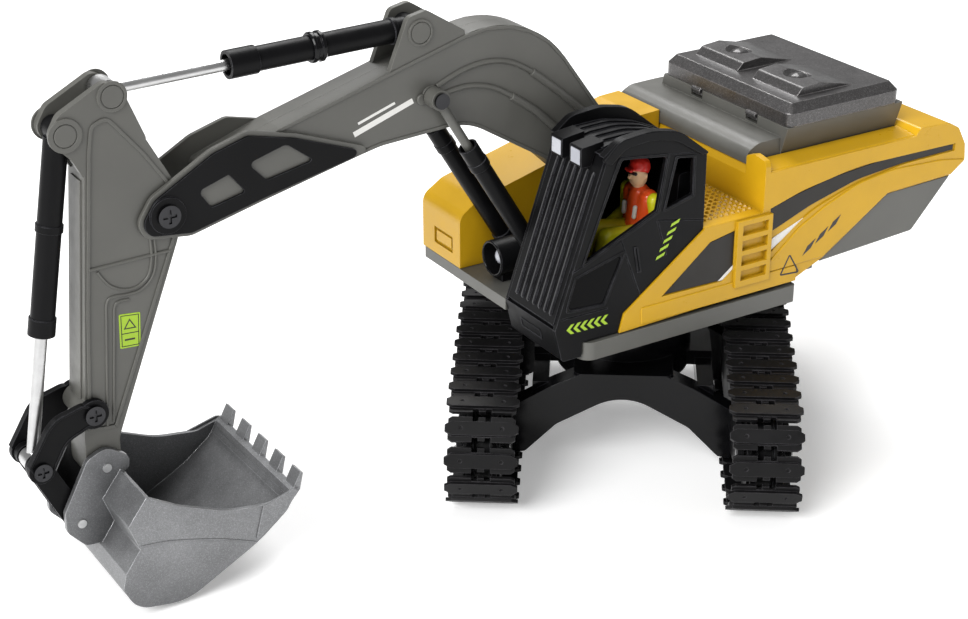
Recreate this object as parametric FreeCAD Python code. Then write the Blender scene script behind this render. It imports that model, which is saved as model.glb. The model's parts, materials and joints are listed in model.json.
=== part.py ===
import FreeCAD, Part
import math
import os

# Toy excavator.  Millimetres, +Z up, +X forward (the way the boom points), +Y left (cab side).
# Origin: on the ground, on the axis that the upper structure swings about.
# The undercarriage stands turned by SWING under the upper structure.

V = FreeCAD.Vector
NODES = {}

# ---------------------------------------------------------------- driving dimensions
SWING = 54.5                      # angle of the tracks to the boom, degrees
TRACK_WIDTH = 165.0               # over both tracks
PAD_WIDTH = 34.0
TRACK_Y = (TRACK_WIDTH - PAD_WIDTH) / 2.0
IDLER_X = 80.0
IDLER_R = 26.8                    # outside of the pads at the front idler
SPROCKET_X = -76.5
SPROCKET_R = 30.35                # outside of the pads at the drive sprocket
CARRIER_X = 4.0
PITCH_DEPTH = 4.5                 # link pins below the outside of the pads
RAIL_DEPTH = 7.0                  # link rails below the outside of the pads
LINKS = 36
AXLE_R = 2.0
RUN = 0.05                        # radial clearance of a running fit

HUB_R = 34.0                      # chassis hub under the turntable
HUB_TOP = 66.0
POST_R = 9.0
POST_TOP = 90.8                   # the retaining washer sits here, in a recess of the deck
RING_TEETH = 40
SWING_PINION_TEETH = 10
SWING_MODULE = 1.0
FINAL_TEETH = 30
MOTOR_PINION_TEETH = 10
FINAL_MODULE = 0.8

DECK_Z0 = 88.6
DECK_Z1 = 94.2
DECK_FRONT = 81.0
HOUSE_Y = 59.0                    # half width of the upper structure
REAR_X = -165.0
CAB_Y0 = 16.5
CAB_Y1 = 58.0
BOX_Y1 = -24.2                    # inner face of the right body box

ARM_Y = -4.0                      # middle plane of boom, stick and bucket
BOOM_HALF = 9.2
STICK_HALF = 8.8
FORK_HALF = 11.2
BOOM_FOOT = (-10.0, 112.0)        # pivots as (x, z)
BOOM_CYL_BASE = (54.5, 101.0)
BOOM_CYL_END = (113.5, 197.0)
ARM_CYL_BASE = (118.5, 226.5)
ARM_CYL_END = (261.0, 223.6)
STICK_PIVOT = (242.5, 169.5)
BUCKET_CYL_BASE = (282.0, 211.0)
ROCKER_PIVOT = (282.0, 87.0)
ROCKER_END = (307.0, 67.0)
LINK_PIN = (292.0, 36.5)
BUCKET_PIVOT = (278.5, 60.0)
BOOM_CYL_Y = 14.6                 # boom cylinders, each side of the middle plane
BUCKET_HALF = 40.0
PIN_R = 2.0
CAP = 0.6                         # plastic left over the blind end of a pin
GROOVE_R = 4.6                    # groove in a pivot cap


# ---------------------------------------------------------------- small tools
def put(name, *shapes):
    """Keep the shapes as one node: separate solids stay separate."""
    solids = []
    for shape in shapes:
        solids.extend(shape.Solids)
    NODES[name] = solids[0] if len(solids) == 1 else Part.makeCompound(solids)


def box(x0, x1, y0, y1, z0, z1):
    return Part.makeBox(x1 - x0, y1 - y0, z1 - z0, V(x0, y0, z0))


def rod(p, q, r):
    p, q = V(*p), V(*q)
    return Part.makeCylinder(r, (q - p).Length, p, q - p)


def cyl_y(xz, r, y0, y1):
    return rod((xz[0], y0, xz[1]), (xz[0], y1, xz[1]), r)


def cyl_z(x, y, r, z0, z1):
    return rod((x, y, z0), (x, y, z1), r)


def fuse(first, *others):
    return first.fuse(list(others)).removeSplitter() if others else first


def cut(first, *others):
    return first.cut(list(others))


def rounded_wire(points, place):
    """Closed wire through (a, b) or (a, b, radius) corners; place maps (a, b) to a vector."""
    pts = [(p[0], p[1], p[2] if len(p) > 2 else 0.0) for p in points]
    ends = []
    for i, (a, b, r) in enumerate(pts):
        here = V(a, b, 0)
        before = V(pts[i - 1][0], pts[i - 1][1], 0)
        after = V(pts[(i + 1) % len(pts)][0], pts[(i + 1) % len(pts)][1], 0)
        back, on = (before - here).normalize(), (after - here).normalize()
        half = math.acos(max(-1.0, min(1.0, back * on))) / 2.0
        if r <= 0 or half > 1.56:
            ends.append((here, here, None))
            continue
        run = r / math.tan(half)
        middle = (back + on).normalize()
        top = here + middle * (r / math.sin(half) - r)
        ends.append((here + back * run, here + on * run, top))
    edges = []
    for i, (start, end, top) in enumerate(ends):
        if top is not None:
            edges.append(Part.Arc(place(start), place(top), place(end)).toShape())
        nxt = ends[(i + 1) % len(ends)][0]
        if (nxt - end).Length > 1e-4:
            edges.append(Part.LineSegment(place(end), place(nxt)).toShape())
    return Part.Wire(edges)


def prism(points, y0, y1):
    """Outline in (x, z), pulled along Y."""
    wire = rounded_wire(points, lambda p: V(p.x, y0, p.y))
    return Part.Face(wire).extrude(V(0, y1 - y0, 0))


def plan(points, z0, z1):
    """Outline in (x, y), pulled along Z."""
    wire = rounded_wire(points, lambda p: V(p.x, p.y, z0))
    return Part.Face(wire).extrude(V(0, 0, z1 - z0))


def across(points, x0, x1):
    """Outline in (y, z), pulled along X."""
    wire = rounded_wire(points, lambda p: V(x0, p.x, p.y))
    return Part.Face(wire).extrude(V(x1 - x0, 0, 0))


def rect(a0, a1, b0, b1, r=0.0):
    return [(a0, b0, r), (a1, b0, r), (a1, b1, r), (a0, b1, r)]


def on_both_sides(make):
    """The same piece on the left and right of the arm's middle plane."""
    left = make()
    right = left.mirror(V(0, ARM_Y, 0), V(0, 1, 0))
    return [left, right]


def turned(shape):
    """From the undercarriage's own axes to the object's."""
    shape = shape.copy()
    shape.rotate(V(0, 0, 0), V(0, 0, 1), SWING)
    return shape


def screw_y(xz, y_head, inward, head_r, shank_r, length, head=1.6):
    """Cross-head screw along Y; y_head is the head's outer face, inward is +1 or -1."""
    x, z = xz
    under = y_head + inward * head
    body = cyl_y(xz, head_r, min(y_head, under), max(y_head, under))
    far = under + inward * length
    body = fuse(body, cyl_y(xz, shank_r, min(under, far), max(under, far)))
    slot_end = y_head + inward * 0.8
    ya, yb = sorted((y_head - inward * 0.1, slot_end))
    arm, thick = head_r * 0.62, head_r * 0.14
    return cut(body, box(x - arm, x + arm, ya, yb, z - thick, z + thick),
               box(x - thick, x + thick, ya, yb, z - arm, z + arm))


def screw_z(x, y, z_head, inward, head_r, shank_r, length, head=1.4):
    """Cross-head screw along Z; inward is -1 when the head is on top."""
    under = z_head + inward * head
    far = under + inward * length
    body = cyl_z(x, y, head_r, min(z_head, under), max(z_head, under))
    body = fuse(body, cyl_z(x, y, shank_r, min(under, far), max(under, far)))
    za, zb = sorted((z_head - inward * 0.1, z_head + inward * 0.7))
    arm, thick = head_r * 0.62, head_r * 0.14
    return cut(body, box(x - arm, x + arm, y - thick, y + thick, za, zb),
               box(x - thick, x + thick, y - arm, y + arm, za, zb))


def gear_points(teeth, module, phase=0.0):
    """Outline of a plain spur gear with generous backlash, as (a, b) points."""
    pitch_r = teeth * module / 2.0
    root_r, tip_r = pitch_r - 1.15 * module, pitch_r + 0.8 * module
    step = 2.0 * math.pi / teeth
    points = []
    for i in range(teeth):
        middle = phase + i * step
        for r, half in ((root_r, 0.25), (pitch_r, 0.2), (tip_r, 0.1), (tip_r, -0.1),
                        (pitch_r, -0.2), (root_r, -0.25)):
            angle = middle - half * step
            points.append((r * math.cos(angle), r * math.sin(angle)))
    return points


def gear_z(x, y, teeth, module, z0, z1, phase=0.0):
    return plan([(x + a, y + b) for a, b in gear_points(teeth, module, phase)], z0, z1)


def gear_y(xz, teeth, module, y0, y1, phase=0.0):
    return prism([(xz[0] + a, xz[1] + b) for a, b in gear_points(teeth, module, phase)], y0, y1)


def write_nodes():
    os.makedirs("parts", exist_ok=True)
    for name, shape in NODES.items():
        if not shape.isValid():
            print("not valid:", name)
        shape.exportStep("parts/%s.step" % name)
    print(len(NODES), "nodes written")


# ---------------------------------------------------------------- tracks
def tangent_path():
    """Outside of the track as runs: ('line', p, q) and ('arc', centre, r, start, sweep)."""
    top = 2.0 * SPROCKET_R
    dx, dz = IDLER_X - CARRIER_X, IDLER_R - top
    reach = math.hypot(dx, dz)
    lead = math.atan2(dz, dx) + math.asin(IDLER_R / reach)
    length = math.sqrt(reach ** 2 - IDLER_R ** 2)
    down = (CARRIER_X + length * math.cos(lead), top + length * math.sin(lead))
    return [
        ("line", (SPROCKET_X, top), (CARRIER_X, top)),
        ("line", (CARRIER_X, top), down),
        ("arc", (IDLER_X, IDLER_R), IDLER_R, lead + math.pi / 2, -(lead + math.pi)),
        ("line", (IDLER_X, 0.0), (SPROCKET_X, 0.0)),
        ("arc", (SPROCKET_X, SPROCKET_R), SPROCKET_R, -math.pi / 2, -math.pi),
    ]


def run_length(run):
    if run[0] == "line":
        return math.dist(run[1], run[2])
    return abs(run[4]) * (run[2] - PITCH_DEPTH)


def link_places():
    """Outer mid point (x, z) and heading of every link, evenly spaced along the link pins."""
    path = tangent_path()
    total = sum(run_length(run) for run in path)
    step = total / LINKS
    places = []
    for i in range(LINKS):
        left = (i + 0.5) * step
        for run in path:
            length = run_length(run)
            if left <= length:
                break
            left -= length
        if run[0] == "line":
            (x0, z0), (x1, z1) = run[1], run[2]
            heading = math.atan2(z1 - z0, x1 - x0)
            places.append((x0 + (x1 - x0) * left / length, z0 + (z1 - z0) * left / length, heading))
        else:
            angle = run[3] + run[4] * left / length
            centre, r = run[1], run[2]
            places.append((centre[0] + r * math.cos(angle), centre[1] + r * math.sin(angle),
                           angle - math.pi / 2))
    return places, step


def track_link(step):
    """One link: u along the run, y across, z = 0 at the outside; the inside is below."""
    half, edge = step / 2.0 - 0.35, PAD_WIDTH / 2.0
    shoe = plan([(-3.4, -edge + 3), (-1.6, -edge), (1.6, -edge), (3.4, -edge + 3),
                 (3.4, edge - 3), (1.6, edge), (-1.6, edge), (-3.4, edge - 3)], -1.6, 0.0)
    plate = plan([(-half, -edge + 3.2), (-half + 1.2, -edge + 1.4), (half - 1.2, -edge + 1.4),
                  (half, -edge + 3.2), (half, edge - 3.2), (half - 1.2, edge - 1.4),
                  (-half + 1.2, edge - 1.4), (-half, edge - 3.2)], -3.2, -1.6)
    for side in (-1, 1):
        plate = cut(plate, box(side * half - 2.2, side * half + 2.2, -4.4, 4.4, -4, -1))
    rails = [box(-half + 0.3, half - 0.3, y - 1.2, y + 1.2, -RAIL_DEPTH, -3.2) for y in (-6.0, 6.0)]
    tongue = box(-half + 0.2, half - 0.6, -1.6, 1.6, -3.6, -1.7)
    shoe = cut(shoe, *[cyl_z(0, y, 0.9, -0.5, 0.5) for y in (-9.5, 9.5)])
    return fuse(shoe, plate, tongue, *rails)


def track_links(side):
    places, step = link_places()
    master = track_link(step)
    links = []
    for x, z, heading in places:
        link = master.copy()
        link.rotate(V(0, 0, 0), V(0, 1, 0), -math.degrees(heading))
        link.translate(V(x, side * TRACK_Y, z))
        links.append(turned(link))
    return links


def wheel(x, z, side, profile, bore=AXLE_R + RUN):
    """Turned wheel on an axle across the track; profile is (distance across, radius) points."""
    y = side * TRACK_Y
    body = None
    for (a0, a1, r) in profile:
        disc = cyl_y((x, z), r, y + a0, y + a1)
        body = disc if body is None else body.fuse(disc)
    low, high = min(p[0] for p in profile), max(p[1] for p in profile)
    return cut(body.removeSplitter(), cyl_y((x, z), bore, y + low - 1, y + high + 1))


def idler(side):
    r = IDLER_R - RAIL_DEPTH - 0.5
    body = wheel(IDLER_X, IDLER_R, side, [(-8.6, -3.6, r), (-3.6, 3.6, r - 4), (3.6, 8.6, r)])
    holes = [cyl_y((IDLER_X + 11.5 * math.cos(a), IDLER_R + 11.5 * math.sin(a)), 2.4,
                   side * TRACK_Y - 9, side * TRACK_Y + 9)
             for a in [k * math.pi / 3 for k in range(6)]]
    return turned(cut(body, *holes))


def sprocket(side):
    """Drive sprocket with its final gear moulded on, toward the middle of the vehicle."""
    xz, y = (SPROCKET_X, SPROCKET_R), side * TRACK_Y
    r = SPROCKET_R - RAIL_DEPTH - 0.6
    body = wheel(xz[0], xz[1], side, [(-8.6, -4.0, r), (-4.0, 4.0, r - 3), (4.0, 8.6, r)])
    teeth = []
    count = 14
    for k in range(count):
        a = 360.0 * k / count
        tooth = prism([(r - 5, -2.6), (r + 2.6, -1.1), (r + 2.6, 1.1), (r - 5, 2.6)], y - 2.6, y + 2.6)
        tooth.rotate(V(0, 0, 0), V(0, 1, 0), a)
        tooth.translate(V(xz[0], 0, xz[1]))
        teeth.append(tooth)
    inner = sorted((y - side * 8.6, y - side * 13.4))
    hub = cyl_y(xz, 5.0, inner[0] - 0.1, inner[1] + 0.1)
    gear = sorted((y - side * 13.3, y - side * 16.3))
    final = gear_y(xz, FINAL_TEETH, FINAL_MODULE, gear[0], gear[1])
    body = fuse(body, hub, final, *teeth)
    bore = cyl_y(xz, AXLE_R + RUN, y - 20, y + 20)
    dimples = [cyl_y((xz[0] + 14 * math.cos(a), xz[1] + 14 * math.sin(a)), 2.6,
                     *sorted((y + side * 3.0, y + side * 9)))
               for a in [k * math.pi / 3 for k in range(6)]]
    return turned(cut(body, bore, *dimples))


ROAD_ROLLERS = {"front": 30.0, "rear": -26.0}
ROAD_ROLLER_R = 5.5
CARRIER_R = 5.0


def road_roller(side, x):
    return turned(wheel(x, RAIL_DEPTH + 0.5 + ROAD_ROLLER_R, side,
                        [(-8.6, -4.4, ROAD_ROLLER_R), (-4.4, 4.4, 4.0), (4.4, 8.6, ROAD_ROLLER_R)]))


def carrier_height():
    return 2 * SPROCKET_R - RAIL_DEPTH - 0.9 - CARRIER_R


def carrier_roller(side):
    return turned(wheel(CARRIER_X, carrier_height(), side,
                        [(-8.6, -4.4, CARRIER_R), (-4.4, 4.4, 3.6), (4.4, 8.6, CARRIER_R)]))


def axle_places():
    places = [(IDLER_X, IDLER_R), (SPROCKET_X, SPROCKET_R), (CARRIER_X, carrier_height())]
    return places + [(x, RAIL_DEPTH + 0.5 + ROAD_ROLLER_R) for x in ROAD_ROLLERS.values()]


def track_frame(side):
    """Beam and two side plates that hold the wheels of one track."""
    y = side * TRACK_Y
    outline = [(-86, 22, 8), (-70, 19, 8), (-46, 9.8, 6), (50, 9.8, 6), (72, 17, 8), (90, 18, 8),
               (90, 35, 8), (70, 37, 8), (14, 42, 3), (11, 52, 3), (-3, 52, 3), (-6, 43, 3),
               (-62, 41, 8), (-86, 39, 8)]
    plates = [prism(outline, y + a, y + b) for a, b in ((-12.5, -9.5), (9.5, 12.5))]
    beam = box(-42, 52, y - 9.6, y + 9.6, 22, 40.5)
    beam = fuse(beam, *plates)
    holes = [cyl_y(p, AXLE_R, y - 20, y + 20) for p in axle_places()]
    inner = sorted((y - side * 9.0, y - side * 13.0))
    holes.append(cyl_y((SPROCKET_X, SPROCKET_R), 5.0 + RUN, inner[0], inner[1]))
    return turned(cut(beam, *holes))


def axle_pins():
    pins = []
    for side in (-1, 1):
        y = side * TRACK_Y
        for x, z in axle_places():
            inner = 16.4 if x == SPROCKET_X else 12.5
            ya, yb = sorted((y - side * inner, y + side * 12.5))
            cap = sorted((y + side * 12.5, y + side * 13.7))
            pins.append(turned(fuse(cyl_y((x, z), AXLE_R, ya, yb), cyl_y((x, z), 3.4, cap[0], cap[1]))))
    return pins


# ---------------------------------------------------------------- chassis
MOTOR_X = SPROCKET_X + (FINAL_TEETH + MOTOR_PINION_TEETH) * FINAL_MODULE / 2.0 + 0.2
MOTOR_R = 9.5
BELLY_Z = 38.0                    # top of the belly cover, bottom of the hub
BELLY_SCREWS = [(28.0, 0.0), (-28.0, 0.0), (0.0, 28.0), (0.0, -28.0)]
ARCH = [(-53.0, 5.5), (-47, 6.5, 3), (-32, 22, 10), (0, 40, 26), (32, 22, 10), (47, 6.5, 3),
        (53.0, 5.5), (53.0, 31.5), (34, 43, 14), (20, 49.5, 12), (-20, 49.5, 12), (-34, 43, 14),
        (-53.0, 31.5)]


def chassis_frame():
    """Hub, two arched cross members and the motor housings."""
    parts = [across(ARCH, x0, x1) for x0, x1 in ((37.0, 48.0), (-46.0, -35.0))]
    spine = plan([(-46, -24, 4), (48, -24, 4), (48, 24, 4), (-46, 24, 4)], 41.0, 49.5)
    hub = fuse(cyl_z(0, 0, HUB_R, BELLY_Z, HUB_TOP - 4), cyl_z(0, 0, HUB_R - 3, 60, HUB_TOP))
    rails = [box(-40, 42, s * 40 - 4, s * 40 + 4, 32.0, 42.0) for s in (-1, 1)]
    webs = [box(-12, 12, *sorted((s * 24, s * 44)), BELLY_Z + 0.2, 46.0) for s in (-1, 1)]
    post = fuse(cyl_z(0, 0, POST_R, HUB_TOP - 1, POST_TOP),
                gear_z(0, 0, RING_TEETH, SWING_MODULE, HUB_TOP - 1, HUB_TOP + 5))
    body = fuse(parts[0], parts[1], spine, hub, post, *rails, *webs)
    for s in (-1, 1):
        outer = s * (TRACK_Y - 17.3)
        ya, yb = sorted((outer, s * 19.0))
        housing = box(MOTOR_X - 12.5, MOTOR_X + 12.5, ya, yb, SPROCKET_R - 12, SPROCKET_R + 12)
        bridge = box(MOTOR_X + 10, -40, *sorted((s * 20.0, s * 34.0)), 24, 40)
        body = fuse(body, housing, bridge)
        cavity = sorted((outer - s * 2.0, s * 21.5))
        body = cut(body, cyl_y((MOTOR_X, SPROCKET_R), MOTOR_R + 0.4, cavity[0], cavity[1]),
                   cyl_y((MOTOR_X, SPROCKET_R), 3.2, *sorted((outer + s * 1, outer - s * 3))))
    body = cut(body, cyl_z(0, 0, 24, 38.0, 46.0), cyl_z(0, 0, 1.4, 60, 100))
    for x, y in BELLY_SCREWS:
        body = cut(body, cyl_z(x, y, 1.2, 36, 47))
    return turned(body)


def belly_cover():
    """Round cover under the hub, with the opening for the power switch."""
    cover = fuse(cyl_z(0, 0, 33, BELLY_Z - 2.4, BELLY_Z), cyl_z(0, 0, 23.6, BELLY_Z - 0.2, BELLY_Z + 2))
    cover = cut(cover, cyl_z(0, 0, 21.6, BELLY_Z, BELLY_Z + 5), box(-8, 8, -3, 3, 30, 42))
    cover = cut(cover, *[cyl_z(x, y, 1.25, 30, 42) for x, y in BELLY_SCREWS])
    return turned(cover)


def power_switch():
    """Slide knob of the power switch: a grip below the cover and a foot above it."""
    grip = box(-6.5, -1.5, -2.7, 2.7, BELLY_Z - 4.0, BELLY_Z + 0.3)
    foot = box(-7.5, -0.5, -4.5, 4.5, BELLY_Z + 0.3, BELLY_Z + 1.8)
    ribs = [box(x, x + 0.5, -2.8, 2.8, BELLY_Z - 4.1, BELLY_Z - 3.4) for x in (-5.6, -4.2, -2.8)]
    return turned(cut(fuse(grip, foot), *ribs))


def drive_motors():
    motors = []
    for s in (-1, 1):
        outer = s * (TRACK_Y - 19.6)
        can = cyl_y((MOTOR_X, SPROCKET_R), MOTOR_R, *sorted((outer, s * 22.0)))
        shaft = cyl_y((MOTOR_X, SPROCKET_R), 1.0, *sorted((outer, s * (TRACK_Y - 13.4))))
        motors.append(turned(fuse(can, shaft)))
    return motors


def motor_pinion(s):
    phase = math.pi / MOTOR_PINION_TEETH
    ya, yb = sorted((s * (TRACK_Y - 13.5), s * (TRACK_Y - 16.1)))
    pinion = gear_y((MOTOR_X, SPROCKET_R), MOTOR_PINION_TEETH, FINAL_MODULE, ya, yb, phase + math.pi)
    return turned(cut(pinion, cyl_y((MOTOR_X, SPROCKET_R), 1.0 + RUN, ya - 1, yb + 1)))


def undercarriage_screws():
    screws = [screw_z(x, y, BELLY_Z - 3.8, 1, 2.4, 1.2, 8.0) for x, y in BELLY_SCREWS]
    washer = cut(cyl_z(0, 0, 13.0, POST_TOP, POST_TOP + 1.2), cyl_z(0, 0, 1.4, 80, 110))
    retainer = screw_z(0, 0, POST_TOP + 2.8, -1, 4.0, 1.4, 14.0, head=1.6)
    return [turned(s) for s in screws + [washer, retainer]]


# ---------------------------------------------------------------- upper structure
WALL = 2.0
SIDE_IN = 55.8                    # deck and inner shells stop here beside the side walls
DECK_REAR = -73.5
SPLIT = 0.05                      # half the gap between two shells
BODY_FRONT = -36.0                # front wall of the engine housing
BODY_Z = 146.5                    # its top edge
LUG_IN, LUG_OUT = 9.5, 12.5       # boom foot lugs, from the arm's middle plane
SCREW_PLACES = [(60.0, 50.0), (-20.0, 50.0), (-62.0, 50.0), (70.0, -50.0), (-20.0, -50.0), (-62.0, -50.0)]
SWING_PINION_R = (RING_TEETH + SWING_PINION_TEETH) * SWING_MODULE / 2.0 + 0.3
SWING_PINION_ANGLE = SWING + 9.0 * 9
SWING_PINION_AT = (SWING_PINION_R * math.cos(math.radians(SWING_PINION_ANGLE)),
                   SWING_PINION_R * math.sin(math.radians(SWING_PINION_ANGLE)))
BOARD_POSTS = [(3.0, -51.0), (29.0, -51.0), (3.0, -34.0), (29.0, -34.0)]


def deck():
    """Floor of the upper structure with the turntable skirt, the boom lugs and the cylinder block."""
    outline = [(DECK_FRONT, -HOUSE_Y, 2.5), (DECK_FRONT, CAB_Y0 - 0.2), (66.0, CAB_Y0 - 0.2),
               (66.0, SIDE_IN), (DECK_REAR, SIDE_IN, 2), (DECK_REAR, -SIDE_IN, 2),
               (46.0, -SIDE_IN), (46.0, -HOUSE_Y)]
    plate = plan(outline, DECK_Z0, DECK_Z1)
    skirt = cut(cyl_z(0, 0, 36.0, 63.0, DECK_Z0 + 0.1), cyl_z(0, 0, 32.0, 62.0, DECK_Z0))
    boss = cyl_z(0, 0, 14.0, HUB_TOP + 5.3, DECK_Z0 + 0.1)
    lug = [(-26, DECK_Z1 - 0.1), (8, DECK_Z1 - 0.1), (-1, 119, 8), (-19, 119, 8)]
    lugs = on_both_sides(lambda: prism(lug, ARM_Y + LUG_IN, ARM_Y + LUG_OUT))
    block = box(48.0, 57.5, ARM_Y - 9.6, ARM_Y + 9.6, DECK_Z1 - 0.1, 106.0)
    posts = [cyl_z(x, y, 2.0, DECK_Z1 - 0.1, 97.2) for x, y in BOARD_POSTS]
    body = fuse(plate, skirt, boss, block, *lugs, *posts)
    px, py = SWING_PINION_AT
    holes = [cyl_z(0, 0, POST_R + RUN, 60, 92), cyl_z(0, 0, 13.4, 90.6, DECK_Z1),
             cyl_z(px, py, 2.4, 80, 100),
             cyl_y(BOOM_FOOT, PIN_R + 0.6, ARM_Y - 20, ARM_Y + 20),
             cyl_y(BOOM_CYL_BASE, PIN_R, ARM_Y - 20, ARM_Y + 20)]
    holes += [cyl_z(x, y, 1.25, 80, 100) for x, y in SCREW_PLACES]
    return cut(body, *holes)


def screw_boss(x, y, z1=104.0):
    return cut(cyl_z(x, y, 3.2, DECK_Z1 + 0.2, z1), cyl_z(x, y, 1.2, 90, 100))


FRONT_LEAN = 1.6                  # the front wall leans back above its crease
REAR = [(BODY_FRONT, 94.4), (BODY_FRONT, 142.0), (BODY_FRONT - FRONT_LEAN, BODY_Z), (-131, BODY_Z),
        (-134, 150.2, 2), (-153, 149.4, 5), (-160, 145.5, 3), (-165.5, 136, 4), (-166.5, 127, 2),
        (-157.7, 121), (-115.4, 119.8), (-75.2, 94.4)]


def rear_half(y0, y1, inner0, inner1):
    """One half of the engine housing, open toward the deck and under the hood."""
    wire = rounded_wire(REAR, lambda p: V(p.x, y0, p.y))
    outer = Part.Face(wire).extrude(V(0, y1 - y0, 0))
    inside = wire.makeOffset2D(-WALL)
    inside.translate(V(0, inner0 - y0, 0))
    hollow = Part.Face(inside).extrude(V(0, inner1 - inner0, 0))
    return cut(outer, hollow, box(-72.0, BODY_FRONT - WALL, inner0, inner1, 90, 98),
               box(-129.0, BODY_FRONT - FRONT_LEAN - WALL, max(inner0, -56.0), min(inner1, 42.0),
                   140, BODY_Z + 1))


STRIPE = [(-40.4, 128.0), (-60, 133.2, 60), (-95, 138.4, 90), (-158.8, 137.4), (-158.8, 133.6),
          (-125, 133.4, 60), (-95, 129.6, 90), (-66, 121.5, 60), (-41.3, 104.5)]
DARK_PANEL = [(22.4, 97.7), (-4.9, 119.0, 2), (-19.7, 121.7), (-19.7, 101.4), (-13.6, 97.0)]
PLATFORM_Z = 127.0


def left_body_shell():
    """Engine housing with the left side wall, the platform behind the cab and its ladder."""
    rear = rear_half(ARM_Y + SPLIT, HOUSE_Y, ARM_Y - 1, HOUSE_Y - WALL)
    side = prism([(46, 85), (43.5, 94), (-1, 126), (-1, PLATFORM_Z), (BODY_FRONT - 1, PLATFORM_Z),
                  (BODY_FRONT - 1, 94.5), (-75.2, 94.5), (-59.3, 87.9)], HOUSE_Y - WALL, HOUSE_Y)
    shoulder = across([(45.0, BODY_Z - 1), (HOUSE_Y, BODY_Z - 1), (HOUSE_Y - 1.5, BODY_Z + 0.4),
                       (45.0, BODY_Z + 1.5)], -131.0, BODY_FRONT)
    floor = box(BODY_FRONT - 0.5, -1.2, 15.0, HOUSE_Y - 0.5, PLATFORM_Z - WALL, PLATFORM_Z)
    inner = box(BODY_FRONT - 0.5, -1.2, 15.0, 15.0 + WALL, 95.0, PLATFORM_Z)
    lug = across([(44.4, 138), (44.4, 151.4, 2), (50.5, 153.6, 5), (57.8, 152.2, 2), (HOUSE_Y, 149.5, 2),
                  (HOUSE_Y, 138)], BODY_FRONT - 3.2, BODY_FRONT)
    ladder = box(-41.0, -20.0, HOUSE_Y - 0.5, HOUSE_Y + 1.6, 92.0, 126.0)
    body = fuse(rear, side, floor, inner, shoulder, lug, ladder)
    slots = [box(-38.6, -23.2, HOUSE_Y - 0.8, HOUSE_Y + 3, z, z + 5.2) for z in (95.2, 102.9, 110.6, 118.3)]
    motor_room = cyl_z(*SWING_PINION_AT, 8.2, 90, 120)
    bosses = [screw_boss(x, y) for x, y in SCREW_PLACES[1:3]]
    stubs = [box(x - 1.0, x + 1.0, y + 2.8, HOUSE_Y - 1, 96.0, 104.0) for x, y in SCREW_PLACES[1:3]]
    recess = [prism(STRIPE, HOUSE_Y - 0.8, HOUSE_Y + 0.1), prism(DARK_PANEL, HOUSE_Y - 0.8, HOUSE_Y + 0.1)]
    return cut(fuse(body, *bosses, *stubs), motor_room, *slots, *recess)


RIGHT_BOX = [(DECK_FRONT, 94.4), (DECK_FRONT, 121, 7), (70, 128, 10), (-24, 152.6, 6),
             (BODY_FRONT, 153.3), (BODY_FRONT, 94.4)]
LATCH = (-48.0, -31.0, 100.0, 108.5)


def right_body_shell():
    """Engine housing with the right side wall and the long box beside the boom."""
    rear = rear_half(-HOUSE_Y, ARM_Y - SPLIT, -HOUSE_Y + WALL, ARM_Y + 1)
    wire = rounded_wire(RIGHT_BOX, lambda p: V(p.x, -HOUSE_Y, p.y))
    long_box = Part.Face(wire).extrude(V(0, BOX_Y1 + HOUSE_Y, 0))
    inside = wire.makeOffset2D(-WALL)
    inside.translate(V(0, WALL, 0))
    hollow = Part.Face(inside).extrude(V(0, BOX_Y1 + HOUSE_Y - 2 * WALL, 0))
    long_box = cut(long_box, hollow, box(BODY_FRONT + WALL, DECK_FRONT - WALL, -HOUSE_Y + WALL, BOX_Y1 - WALL,
                                         90, 98))
    side = prism([(46, 85), (46, 94.6), (-75.2, 94.6), (-59.3, 87.9)], -HOUSE_Y, -HOUSE_Y + WALL)
    y0, y1, z0, z1 = LATCH
    pocket = cut(box(DECK_FRONT - 1.2, DECK_FRONT + 1, y0, y1, z0, z1),
                 box(DECK_FRONT - 2, DECK_FRONT - 0.3, y0 + 1.6, y1 - 1.6, z0 + 1.6, z1 - 1.6))
    recess = prism(STRIPE, -HOUSE_Y - 0.1, -HOUSE_Y + 0.8)
    bosses = [screw_boss(x, y) for x, y in SCREW_PLACES[3:]]
    stubs = [box(x - 1.0, x + 1.0, -HOUSE_Y + 1, y - 2.8, 96.0, 104.0) for x, y in SCREW_PLACES[3:]]
    return cut(fuse(rear, long_box, side, *bosses, *stubs), pocket, recess)


HOOD_FRONT = BODY_FRONT - 0.3
COVER_X = (-128.0, -57.0)         # battery cover, rear and front edge
COVER_HALF = 49.0
COVER_Z = 161.9
HINGE_DROP = 0.9                  # hinge axis below the lid's lower face
HINGE_R = 1.2                     # knuckles that the cover turns on
WELL = (-124.0, -61.0, 33.0, 130.0)


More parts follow.
